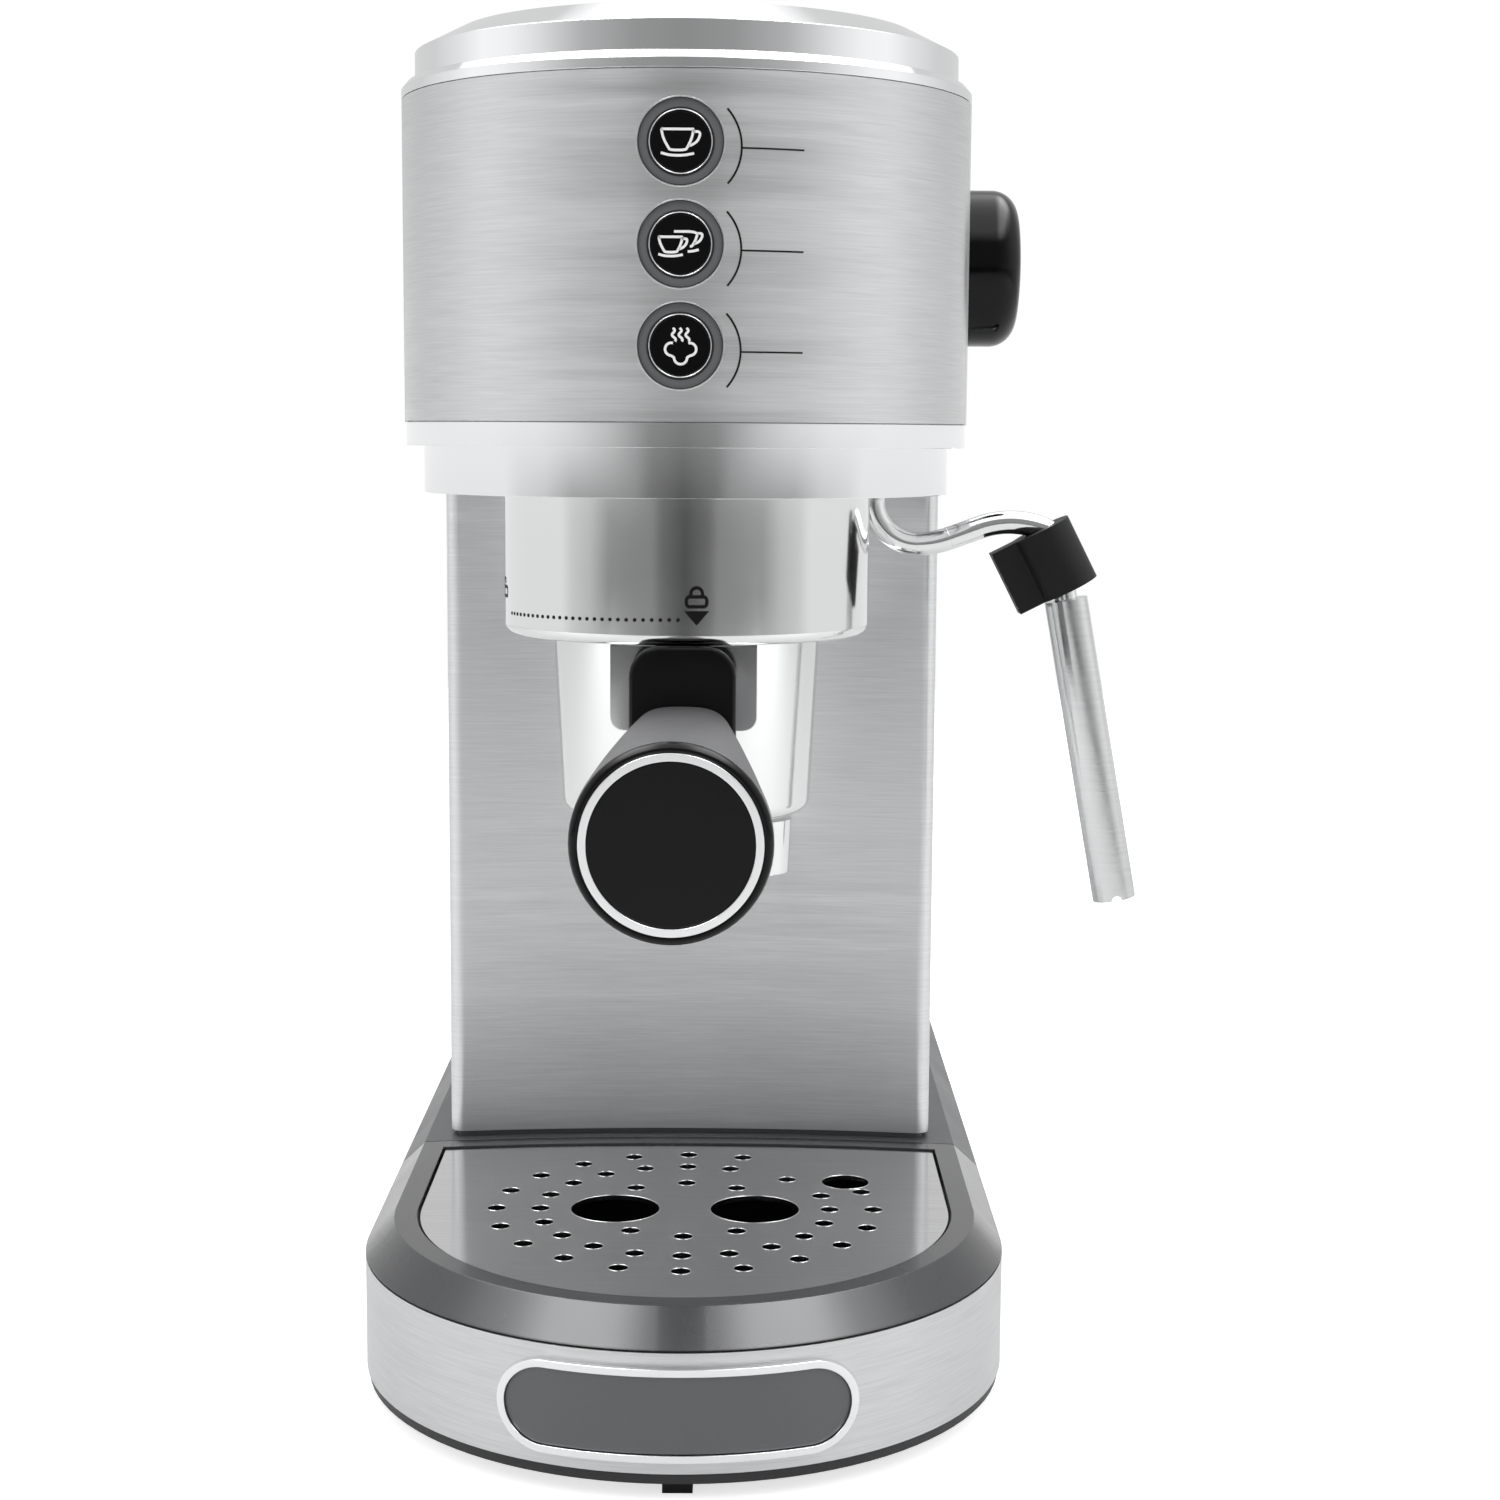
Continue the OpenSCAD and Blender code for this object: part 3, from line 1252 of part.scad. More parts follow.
module frother_sleeve() color("#c3c5c7") on_wand() translate([0, 0, holder_gap]) difference() {
    cylinder(h = sleeve_l, r = sleeve_r);
    translate([0, 0, 1.2]) cylinder(h = sleeve_l, r = sleeve_r - sleeve_t);
    translate([0, 0, -1]) cylinder(h = 4, r = tube_r + run_gap);
    translate([0, 0, sleeve_l]) rotate([90, 0, 0]) cylinder(h = 2 * sleeve_r, r = 1.2, $fn = 24);
}

// ---- Water tank ----

module tank_form(inset, z0, z1) {
    sweep(tank_r - inset, tank_front + inset, tank_rear - inset, tank_corner - inset, front = false)
        bar(tank_r - inset, z0, z1);
}

module water_tank() color([0.55, 0.6, 0.65, 0.6]) difference() {
    union() {
        difference() {
            tank_form(0, tank_z, tank_top);
            tank_form(tank_wall, tank_z + tank_wall, far);
        }
        translate([0, socket_y, tank_z]) cylinder(h = pocket_h + tank_wall, r = pocket_r + tank_wall);
        for (s = [-1, 1]) {
            x = s * ear_x;
            block([x - 3, tank_rear - 1, tank_top - 8], [x + 3, hinge_y + 2.9, tank_top]);
            block([x - 3, hinge_y - 2.9, tank_top - 1], [x + 3, hinge_y + 2.9, hinge_z]);
            rod_x(x - 3, x + 3, hinge_y, hinge_z, 2.9);
        }
    }
    translate([0, socket_y, tank_z - 1]) cylinder(h = pocket_h + 1, r = pocket_r);
    translate([0, socket_y, tank_z]) cylinder(h = far, r = valve_r + fit_gap);
    rod_x(-far, far, hinge_y, hinge_z, 1.2 + run_gap);
}

module tank_valve() color("#d8d2c4") translate([0, socket_y, 0]) {
    translate([0, 0, tank_z + pocket_h + tank_wall]) cylinder(h = 2, r = valve_r + 4);
    translate([0, 0, tank_z + pocket_h - 4]) cylinder(h = 14, r = valve_r);
}

module lid_section(w) {
    polygon([[0, flange_z - (w > 0 ? 1 : 0)], [head_r - w, flange_z - (w > 0 ? 1 : 0)],
             [head_r - w, flange_z + 2 - w * 0.3], [rim_r - w, rim_z + 0.3 - w * 0.7],
             [rim_r - w, rim_top - w * 0.4],
             [rim_r - rim_chamfer_w - w * 0.4, top_z - w], [0, top_z - w]]);
}

barrel_x = ear_x - 3.4;

module tank_lid() color("#3a3b3d") difference() {
    union() {
        difference() {
            sweep(head_r, body_rear + 0.6, lid_rear, tank_corner + 2, front = false) lid_section(0);
            sweep(head_r, body_rear + 0.6 + rim_wall, lid_rear, tank_corner + 2, front = false)
                lid_section(rim_wall);
        }
        rod_x(-barrel_x, barrel_x, hinge_y, hinge_z, 2.4);
        block([-barrel_x, lid_rear - 3, hinge_z - 1.5], [barrel_x, hinge_y, hinge_z + 2.4]);
        rod_x(-ear_x - 3.5, ear_x + 3.5, hinge_y, hinge_z, 1.2);
    }
    translate([0, body_rear - 2, top_z + 9]) scale([1.6, 1, 1]) sphere(r = 16);
}

base_pan();
rubber_feet();
base_body();
column_panel();
left_side_cover();
right_side_cover();
rear_cover();
head_shell();
head_band();
lower_ring();
head_skirt();
top_rim();
cup_warmer_plate();
group_cover();
brew_head();
group_gasket();
shower_screen();
screen_screw();
thermoblock();
thermostat();
steam_valve();
wand_collar();
pump();
pump_bracket();
pump_bushes();
suction_hose();
pressure_hose();
control_board();
button_switches();
button_bezels();
tank_socket();
cord_gland();
switch_frame();
housing_screws();
tray_bin();
tray_frame();
tray_band();
badge_rim();
badge_plaque();
drip_plate();
portafilter_bowl();
double_spout();
filter_basket();
basket_clip();
handle_neck();
handle_grip();
cap_ring();
end_cap();
handle_bolt();
single_button();
double_button();
steam_button();
steam_knob();
steam_tube();
wand_grip();
frother_sleeve();
water_tank();
tank_valve();
tank_lid();
power_rocker();
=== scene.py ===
import bpy
from math import cos, pi, radians, sin, sqrt
from mathutils import Matrix, Vector


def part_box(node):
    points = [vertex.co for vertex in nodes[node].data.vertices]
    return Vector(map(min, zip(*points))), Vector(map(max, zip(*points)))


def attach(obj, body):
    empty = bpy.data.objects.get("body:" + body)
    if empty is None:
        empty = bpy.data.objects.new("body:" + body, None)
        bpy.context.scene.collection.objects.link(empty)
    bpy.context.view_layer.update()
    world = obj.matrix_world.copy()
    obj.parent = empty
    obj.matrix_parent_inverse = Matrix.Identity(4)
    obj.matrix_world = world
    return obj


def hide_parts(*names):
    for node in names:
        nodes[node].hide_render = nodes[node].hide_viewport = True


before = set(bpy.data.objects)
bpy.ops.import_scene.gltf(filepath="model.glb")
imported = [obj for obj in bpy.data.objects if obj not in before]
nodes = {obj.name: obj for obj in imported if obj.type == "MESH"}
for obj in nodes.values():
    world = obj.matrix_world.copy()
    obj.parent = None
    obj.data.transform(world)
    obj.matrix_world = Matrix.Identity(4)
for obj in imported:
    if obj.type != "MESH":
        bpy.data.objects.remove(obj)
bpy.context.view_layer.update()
mm = 0.001
print("frame loaded:", len(nodes), "nodes")


def hexToLinear(code):
    out = []
    for i in (1, 3, 5):
        c = int(code[i:i + 2], 16) / 255
        out.append(c / 12.92 if c <= 0.04045 else ((c + 0.055) / 1.055) ** 2.4)
    return (*out, 1)


# Sockets get a value or a link, whichever they are given
def setInputs(tree, node, inputs):
    for key, value in inputs.items():
        socket = node.inputs[key]
        if isinstance(value, bpy.types.NodeSocket):
            tree.links.new(value, socket)
        else:
            socket.default_value = value


def addNode(tree, kind, inputs=None, **settings):
    node = tree.nodes.new(kind)
    for key, value in settings.items():
        setattr(node, key, value)
    setInputs(tree, node, inputs or {})
    return node


def newMaterial(name, inputs):
    mat = bpy.data.materials.new(name)
    mat.use_nodes = True
    tree = mat.node_tree
    tree.nodes.clear()
    shader = addNode(tree, "ShaderNodeBsdfPrincipled", inputs)
    addNode(tree, "ShaderNodeOutputMaterial", {"Surface": shader.outputs[0]})
    return mat, tree, shader


# Noise whose grains are sizeMm across, one size or one for each axis
def addNoise(tree, sizeMm, detail=3.0):
    sizes = sizeMm if isinstance(sizeMm, tuple) else (sizeMm,) * 3
    coords = addNode(tree, "ShaderNodeTexCoord")
    place = addNode(tree, "ShaderNodeMapping",
                    {"Vector": coords.outputs["Object"], "Scale": tuple(1 / (size * mm) for size in sizes)})
    noise = addNode(tree, "ShaderNodeTexNoise", {"Vector": place.outputs[0], "Scale": 1.0, "Detail": detail})
    return noise.outputs["Fac"]


def spread(tree, noise, low, high):
    return addNode(tree, "ShaderNodeMapRange",
                   {"Value": noise, "From Min": 0.25, "From Max": 0.75, "To Min": low, "To Max": high},
                   interpolation_type="SMOOTHSTEP").outputs[0]


def mixColours(tree, factor, a, b):
    mix = addNode(tree, "ShaderNodeMix", {"Factor": factor, "A": a, "B": b}, data_type="RGBA")
    return mix.outputs["Result"]


def twoTone(tree, noise, tone):
    return mixColours(tree, noise, hexToLinear(tone[0]), hexToLinear(tone[1]))


def softEdge(tree, edgeMm):
    return addNode(tree, "ShaderNodeBevel", {"Radius": edgeMm * mm}, samples=4).outputs[0]


# Stainless steel sheet, belt brushed: fine parallel scratches that pull each
# reflection into long soft streaks across the grain. The real scratch spacing
# of 0.1 mm is too fine to show, so it is drawn at grainMm.
def brushedSteel(name, tone, rough, grainAlong="X", grainMm=0.36, streakMm=14, depth=0.02, stretch=0.75):
    aroundZ = grainAlong == "X"
    mat, tree, shader = newMaterial(name, {"Metallic": 1, "Anisotropic": stretch,
                                           "Anisotropic Rotation": 0.25 if aroundZ else 0.0})
    size = {"X": (streakMm, streakMm, grainMm), "Y": (grainMm, streakMm, streakMm),
            "flat": (streakMm, grainMm, streakMm)}[grainAlong]
    grain = addNoise(tree, size)
    broad = addNoise(tree, tuple(s * 9 for s in size), detail=2.0)
    tangent = addNode(tree, "ShaderNodeTangent", direction_type="RADIAL", axis="Z" if aroundZ else "X")
    bump = addNode(tree, "ShaderNodeBump", {"Strength": 0.35, "Distance": depth * mm, "Height": grain})
    setInputs(tree, shader, {"Base Color": twoTone(tree, grain, tone),
                             "Roughness": spread(tree, broad, rough - 0.03, rough + 0.04),
                             "Tangent": tangent.outputs[0], "Normal": bump.outputs[0]})
    return mat


# Chromed ABS and polished stainless: a near mirror with a faint haze from wiping
def polishedMetal(name, tone, rough, hazeMm=40, edge=0.25):
    mat, tree, shader = newMaterial(name, {"Base Color": hexToLinear(tone), "Metallic": 1})
    haze = addNoise(tree, hazeMm, detail=4.0)
    setInputs(tree, shader, {"Roughness": spread(tree, haze, rough, rough + 0.03),
                             "Normal": softEdge(tree, edge)})
    return mat


# Cast and turned metals: pebbled die skin or fine lathe marks, a little duller in the hollows
def castMetal(name, tone, rough, grainMm=0.8, depth=0.03):
    mat, tree, shader = newMaterial(name, {"Metallic": 1})
    skin = addNoise(tree, grainMm)
    bump = addNode(tree, "ShaderNodeBump", {"Strength": 0.4, "Distance": depth * mm, "Height": skin})
    setInputs(tree, shader, {"Base Color": twoTone(tree, skin, tone),
                             "Roughness": spread(tree, skin, rough, rough + 0.1), "Normal": bump.outputs[0]})
    return mat


# Injection moulded plastic: spark-eroded skin of grainMm with soft moulded edges,
# and a slow change of gloss from handling
def mouldedPlastic(name, tone, rough, grainMm=0.5, depth=0.02, ior=1.49, coat=0.0, edge=0.4, silver=0.0):
    mat, tree, shader = newMaterial(name, {"IOR": ior, "Metallic": silver,
                                           "Coat Weight": coat, "Coat Roughness": 0.08})
    skin = addNoise(tree, grainMm)
    wear = addNoise(tree, 30)
    bump = addNode(tree, "ShaderNodeBump", {"Strength": 0.5, "Distance": depth * mm, "Height": skin,
                                            "Normal": softEdge(tree, edge)})
    setInputs(tree, shader, {"Base Color": twoTone(tree, skin, tone),
                             "Roughness": spread(tree, wear, rough - 0.03, rough + 0.05),
                             "Normal": bump.outputs[0]})
    return mat


# SAN, the clear hard plastic of water tanks: see-through with a smoke tint and a polished face
def clearPlastic(name, tone, rough=0.06):
    mat, tree, shader = newMaterial(name, {"Base Color": hexToLinear(tone), "IOR": 1.57,
                                           "Transmission Weight": 0.85})
    wear = addNoise(tree, 25)
    setInputs(tree, shader, {"Roughness": spread(tree, wear, rough, rough + 0.04)})
    return mat


# Screen-printed ink: a flat film with slightly uneven cover
def printedInk(name, tone, rough=0.5):
    mat, tree, shader = newMaterial(name, {"Base Color": hexToLinear(tone), "IOR": 1.33})
    cover = addNoise(tree, 1 / 3, detail=2.0)
    setInputs(tree, shader, {"Roughness": spread(tree, cover, rough, rough + 0.15)})
    return mat


finish = {
    "panelSteel": brushedSteel("brushedStainlessPanel", ("#cbcccd", "#e8e9ea"), 0.31),
    "bandSteel": brushedSteel("brushedStainlessBand", ("#c0c1c2", "#dedfe0"), 0.32),
    "plateSteel": brushedSteel("brushedStainlessPlate", ("#c6c6c7", "#e6e6e7"), 0.14,
                               grainAlong="flat", streakMm=22),
    "warmerSteel": brushedSteel("brushedStainlessWarmer", ("#bfc0c1", "#cfd0d1"), 0.3, grainAlong="Y"),
    "tubeSteel": brushedSteel("satinStainlessTube", ("#c9cacb", "#dcdddd"), 0.16, grainMm=0.6, stretch=0.0),
    "sheetSteel": brushedSteel("plainStainlessSheet", ("#b0b1b2", "#c4c5c6"), 0.38, grainMm=0.6, stretch=0.3),
    "chrome": polishedMetal("chromedAbs", "#ecedee", 0.05),
    "polished": polishedMetal("polishedStainless", "#e3e4e4", 0.09, hazeMm=25),
    "aluminium": castMetal("dieCastAluminium", ("#9fa1a3", "#b9bbbd"), 0.4),
    "brass": castMetal("machinedBrass", ("#a8843c", "#c7a254"), 0.3, grainMm=0.4),
    "frameGrey": mouldedPlastic("lacqueredAbsGrey", ("#343537", "#3b3c3e"), 0.24, grainMm=0.3, depth=0.006,
                                coat=0.5, silver=0.2),
    "baseGrey": mouldedPlastic("mouldedAbsGrey", ("#434446", "#4b4c4e"), 0.36, grainMm=0.35, depth=0.012),
    "darkPlastic": mouldedPlastic("mouldedAbsBlack", ("#1d1d1f", "#242426"), 0.45),
    "neckBlack": mouldedPlastic("polishedBakelite", ("#040405", "#060607"), 0.14, grainMm=1.5, depth=0.002,
                                ior=1.4),
    "silver": mouldedPlastic("silverPaintedAbs", ("#b9bbbd", "#c8cacc"), 0.32, grainMm=0.25, depth=0.006,
                             silver=0.55, coat=0.2),
    "bezel": mouldedPlastic("satinAbsBezel", ("#5a5b5d", "#636466"), 0.35, grainMm=0.2, depth=0.008,
                            edge=0.3),
    "softTouch": mouldedPlastic("softTouchHandle", ("#4f4f51", "#585859"), 0.5, grainMm=0.25, depth=0.012),
    "gloss": mouldedPlastic("glossBlackAbs", ("#020203", "#040405"), 0.1, grainMm=2.0, depth=0.002, ior=1.3),
    "plaque": mouldedPlastic("satinGreyPlaque", ("#58595b", "#616264"), 0.34, grainMm=0.3, depth=0.01,
                             silver=0.35),
    "rubber": mouldedPlastic("epdmRubber", ("#08080a", "#0d0d0e"), 0.5, grainMm=0.4, depth=0.03, ior=1.36),
    "silicone": mouldedPlastic("siliconeHose", ("#c9c4b6", "#d6d2c6"), 0.4, ior=1.43),
    "pumpNylon": mouldedPlastic("nylonPumpBody", ("#a89b7a", "#b8ac8c"), 0.5),
    "board": mouldedPlastic("glassEpoxyBoard", ("#1d5a36", "#24683f"), 0.35),
    "tank": clearPlastic("smokedSanTank", "#8f9599"),
    "inkBlack": printedInk("blackScreenPrint", "#050506"),
    "inkWhite": printedInk("whiteScreenPrint", "#e2e2e2"),
}

dressing = {
    "panelSteel": ["column_panel"],
    "bandSteel": ["head_band", "tray_band"],
    "plateSteel": ["drip_plate"],
    "warmerSteel": ["cup_warmer_plate"],
    "tubeSteel": ["frother_sleeve"],
    "sheetSteel": ["shower_screen", "screen_screw", "pump_bracket", "housing_screws", "filter_basket",
                   "basket_clip", "handle_bolt"],
    "chrome": ["lower_ring", "head_skirt", "top_rim", "badge_rim", "cap_ring"],
    "polished": ["group_cover", "portafilter_bowl", "double_spout", "steam_tube"],
    "aluminium": ["brew_head", "thermoblock"],
    "brass": ["steam_valve"],
    "frameGrey": ["tray_frame"],
    "baseGrey": ["base_body"],
    "darkPlastic": ["base_pan", "rear_cover", "thermostat", "button_switches", "tank_socket", "cord_gland",
                    "switch_frame", "tray_bin", "tank_valve", "tank_lid"],
    "neckBlack": ["handle_neck"],
    "silver": ["left_side_cover", "right_side_cover", "head_shell"],
    "bezel": ["button_bezels"],
    "softTouch": ["handle_grip"],
    "gloss": ["single_button", "double_button", "steam_button", "steam_knob", "end_cap", "power_rocker"],
    "plaque": ["badge_plaque"],
    "rubber": ["rubber_feet", "group_gasket", "wand_collar", "pump_bushes", "wand_grip"],
    "silicone": ["suction_hose", "pressure_hose"],
    "pumpNylon": ["pump"],
    "board": ["control_board"],
    "tank": ["water_tank"],
}

for key, names in dressing.items():
    for name in names:
        for entry in nodes[name].material_slots:
            entry.material = finish[key]
print("materials on", sum(len(names) for names in dressing.values()), "nodes")


def newPiece(name, verts, faces, material, body, smooth=True):
    mesh = bpy.data.meshes.new(name)
    mesh.from_pydata([tuple(c * mm for c in v) for v in verts], [], faces)
    mesh.validate()
    piece = bpy.data.objects.new(name, mesh)
    bpy.context.scene.collection.objects.link(piece)
    mesh.materials.append(finish[material])
    if smooth:
        mesh.shade_smooth()
    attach(piece, body)
    return piece


# Quads between rows of points. A closed row joins its end to its start, and
# a tube joins its last row to its first.
def addRows(verts, faces, rows, closed=True, tube=False):
    first, n = len(verts), len(rows[0])
    for row in rows:
        verts += row
    for k in range(len(rows) if tube else len(rows) - 1):
        a, b = first + k * n, first + (k + 1) % len(rows) * n
        for i in range(n if closed else n - 1):
            j = (i + 1) % n
            faces.append((a + i, a + j, b + j, b + i))


# Closed rows with a flat face at each end
def addPrism(verts, faces, rows):
    first, n = len(verts), len(rows[0])
    last = first + (len(rows) - 1) * n
    addRows(verts, faces, rows)
    faces.append(tuple(first + i for i in reversed(range(n))))
    faces.append(tuple(last + i for i in range(n)))


def addRing(verts, faces, centre, axis, major, minor, around=48, section=8):
    axis = Vector(axis).normalized()
    u = axis.orthogonal().normalized()
    v = axis.cross(u)
    rows = []
    for j in range(section):
        b = 2 * pi * j / section
        row = []
        for i in range(around):
            a = 2 * pi * i / around
            out = u * cos(a) + v * sin(a)
            row.append(Vector(centre) + out * (major + minor * cos(b)) + axis * (minor * sin(b)))
        rows.append(row)
    addRows(verts, faces, rows, tube=True)


# A printed line: a thin flat strip through points, each lifted onto its surface
def addStroke(verts, faces, points, width, onSurface, closed=False):
    n = len(points)
    left, right = [], []
    for i, (x, z) in enumerate(points):
        a = points[(i - 1) % n] if closed or i > 0 else points[i]
        b = points[(i + 1) % n] if closed or i < n - 1 else points[i]
        dx, dz = b[0] - a[0], b[1] - a[1]
        size = sqrt(dx * dx + dz * dz) or 1
        ox, oz = -dz / size * width / 2, dx / size * width / 2
        left.append(onSurface(x + ox, z + oz))
        right.append(onSurface(x - ox, z - oz))
    addRows(verts, faces, [left, right], closed)


def arcPoints(cx, cz, r, start, end, steps=20):
    angles = [radians(start + (end - start) * i / steps) for i in range(steps + 1)]
    return [(cx + r * cos(a), cz + r * sin(a)) for a in angles]


# Points eased through corners, so that a line bends instead of kinking
def rounded(points, times=2, closed=False):
    for _ in range(times):
        out = [] if closed else [points[0]]
        for a, b in zip(points, points[1:] + (points[:1] if closed else [])):
            out.append((a[0] * 0.75 + b[0] * 0.25, a[1] * 0.75 + b[1] * 0.25))
            out.append((a[0] * 0.25 + b[0] * 0.75, a[1] * 0.25 + b[1] * 0.75))
        if not closed:
            out.append(points[-1])
        points = out
    return points


steelBand = {"centreY": -12.5, "radius": 62.25}

buttonRow = {
    "heights": {"single": 279.4, "double": 259.6, "steam": 239.8},
    # each cup is (x, height above the button's middle, size, stands behind)
    "cups": {
        "single": [(-0.1, 0.2, 0.95, False)],
        "double": [(-1.55, -0.2, 0.7, False), (1.45, 0.85, 0.7, True)],
        "steam": [],
    },
    "discFace": -74.10,      # the disc lies a little inside the button's rim
    "rimFace": -74.34,
    "rimRadius": 6.18,
    "rimThick": 0.13,
    "film": 0.03,            # how far prints stand off what they are printed on
    "lineWidth": 0.5,
    "around": 64,
    "groove": (6.36, 6.72),  # the gap between button and bezel, covered by a flat dark ring as painted shade
    "grooveFace": -73.93,
    "seam": (8.3, 8.52),     # the gap between bezel and steel band, covered by a flat dark ring as painted shade
    "edge": ((8.52, 0.03), (8.66, -0.04), (8.8, 0.03)),     # radius, and how far behind the film
    "bracket": (1.3, -0.9, 10.7, 43, -42),  # middle, radius and angles
    "bracketWidth": 0.42,
    "leader": (12.0, -1.1, 12.4),           # start, height and length
    "leaderWidth": 0.36,
}


def onDisc(x, z):
    return (x, buttonRow["discFace"] - buttonRow["film"], z)


def onBand(x, z):
    front = steelBand["centreY"] - sqrt(steelBand["radius"] ** 2 - x * x)
    return (x, front - buttonRow["film"], z)


# A cup seen from the side on its saucer, with the handle to the right. Of a
# cup that stands behind, the part to the right of the other one shows.
def cupStrokes(cx, cz, size, behind):
    bowl = [(-3.9, 2.3), (-3.5, 0.4), (-2.4, -1.5), (-2.1, -1.95), (1.1, -1.95), (1.5, -1.4), (2.4, 0.4),
            (2.8, 2.3)]
    saucer = [(-4.0, -2.5), (-2.2, -3.0), (0.6, -3.05), (2.9, -2.6)]
    handle = [(2.7, 1.8), (4.2, 1.8), (3.95, 0.5), (3.2, -0.5), (1.9, -1.1)]
    if behind:
        bowl = [(-3.9, 2.3), (2.8, 2.3), (2.4, 0.4), (1.5, -1.4), (1.1, -1.8), (0.6, -1.8)]
        saucer = [(0.0, -3.25), (1.4, -3.15), (3.1, -2.7)]
    lines = [(rounded(bowl), not behind), (rounded(handle), False), (rounded(saucer), False)]
    return [([(cx + x * size, cz + z * size) for x, z in line], shut) for line, shut in lines]


# Three wisps of steam over a puff of three lobes that is open at its top
def steamStrokes(cz):
    lines = []
    for x in (-1.45, -0.1, 1.25):
        lines.append([(x + 0.34 * sin(t * 0.9) + 0.03 * t, 3.5 - 0.26 * t) for t in range(11)])
    lobes = ((-1.75, -0.65, 1.25, 75, 268), (0.1, -2.3, 1.3, 178, 362), (1.95, -0.65, 1.25, -88, 105))
    lines.append(rounded([point for lobe in lobes for point in arcPoints(*lobe, steps=10)], 1))
    return [([(x, cz + z) for x, z in line], False) for line in lines]


# Rings of points round each button's middle; the surface gives each point its depth
def ringRows(z, radii, onSurface):
    around = buttonRow["around"]
    turns = [2 * pi * i / around for i in range(around)]
    return [[onSurface(r * sin(a), z + r * cos(a)) for a in turns] for r in radii]


for name, z in buttonRow["heights"].items():
    verts, faces = [], []
    strokes = []
    for x, up, size, behind in buttonRow["cups"][name]:
        strokes += cupStrokes(x, z + up, size, behind)
    for line, shut in strokes or steamStrokes(z):
        addStroke(verts, faces, line, buttonRow["lineWidth"], onDisc, shut)
    newPiece(name + "_pictogram", verts, faces, "inkWhite", name + "_key", smooth=False)

    verts, faces = [], []
    addRing(verts, faces, (0, buttonRow["rimFace"], z), (0, 1, 0), buttonRow["rimRadius"],
            buttonRow["rimThick"], buttonRow["around"])
    newPiece(name + "_rim", verts, faces, "chrome", name + "_key")

verts, faces = [], []
for z in buttonRow["heights"].values():
    x, up, *arc = buttonRow["bracket"]
    addStroke(verts, faces, arcPoints(x, z + up, *arc), buttonRow["bracketWidth"], onBand)
    x, up, length = buttonRow["leader"]
    line = [(x + length * i / 10, z + up) for i in range(11)]
    addStroke(verts, faces, line, buttonRow["leaderWidth"], onBand)
newPiece("band_brackets", verts, faces, "inkBlack", "machine", smooth=False)

# The bright turned edge of the holes that the bezels sit in
verts, faces = [], []
for z in buttonRow["heights"].values():
    rows = []
    for r, back in buttonRow["edge"]:
        rows += [[(x, y + back, h) for x, y, h in row] for row in ringRows(z, [r], onBand)]
    addRows(verts, faces, rows)
newPiece("bezel_edges", verts, faces, "chrome", "machine")


def onBezel(x, z):
    return (x, buttonRow["grooveFace"], z)


# Flat dark rings over the gaps round the buttons and bezels: painted shade standing for the shade that falls
# into these gaps
for name, radii, onSurface in (("button_gap_painted_shade", "groove", onBezel), ("bezel_gap_painted_shade", "seam", onBand)):
    verts, faces = [], []
    for z in buttonRow["heights"].values():
        addRows(verts, faces, ringRows(z, buttonRow[radii], onSurface))
    newPiece(name, verts, faces, "darkPlastic", "machine", smooth=False)
print("buttons, pictograms and brackets made")


# The padlocks, the triangle and the row of dots on the group cover
lockMarks = {
    "radius": 41.7,
    "film": 0.08,
    "lockAngle": 4.0,        # degrees to the right of the front
    "openAngle": -78.0,
    "dots": 27,
    "dotSpan": (-1.44, -68.9),
    "dotHeight": (183.0, 182.35),
    "dotRadius": 0.42,
    "dotCorners": 10,
    "lockHeight": 186.9,
    "body": (4.4, 2.1),      # width and height along the middle of its outline
    "shackle": 1.25,
    "shackleLeg": 0.7,
    "openShift": 1.2,        # how far the open shackle stands to the left
    "line": 0.72,
    "mark": (5.4, 3.1, 184.9),   # the triangle's width, height and top
    "markSteps": 8,
}


def onCover(x, z):
    a = x / lockMarks["radius"]
    r = lockMarks["radius"] + lockMarks["film"]
    return (r * sin(a), -r * cos(a), z)


def coverX(angle):
    return radians(angle) * lockMarks["radius"]


def between(ends, share):
    return ends[0] * (1 - share) + ends[1] * share


verts, faces = [], []
for i in range(lockMarks["dots"]):
    share = i / (lockMarks["dots"] - 1)
    x, z = coverX(between(lockMarks["dotSpan"], share)), between(lockMarks["dotHeight"], share)
    r, n = lockMarks["dotRadius"], lockMarks["dotCorners"]
    faces.append(tuple(range(len(verts), len(verts) + n)))
    verts += [onCover(x + r * cos(2 * pi * k / n), z + r * sin(2 * pi * k / n)) for k in range(n)]

lockX = coverX(lockMarks["lockAngle"])
width, height, top = lockMarks["mark"]
across = [width * (k / lockMarks["markSteps"] - 0.5) for k in range(lockMarks["markSteps"] + 1)]
addRows(verts, faces, [[onCover(lockX + a, top - height * (1 - abs(a) * 2 / width)) for a in across],
                       [onCover(lockX + a, top) for a in across]], closed=False)

width, height = lockMarks["body"]
low = lockMarks["lockHeight"] - height / 2
for centre, shift in ((lockX, 0), (coverX(lockMarks["openAngle"]), lockMarks["openShift"])):
    # points at a third of the sides keep the body's corners tight when the outline is rounded
    corners = [(centre + share * width / 2, low) for share in (-1, -0.33, 0.33, 1)]
    corners += [(centre + share * width / 2, low + height) for share in (1, 0.33, -0.33, -1)]
    addStroke(verts, faces, rounded(corners, closed=True), lockMarks["line"], onCover, True)
    arch = arcPoints(centre - shift, low + height + lockMarks["shackleLeg"], lockMarks["shackle"], 180, 0, 12)
    legs = [(arch[0][0], low + height), *arch, (arch[-1][0], low + height + shift)]
    addStroke(verts, faces, legs, lockMarks["line"], onCover)
newPiece("lock_marks", verts, faces, "inkBlack", "machine", smooth=False)
print("lock marks made")


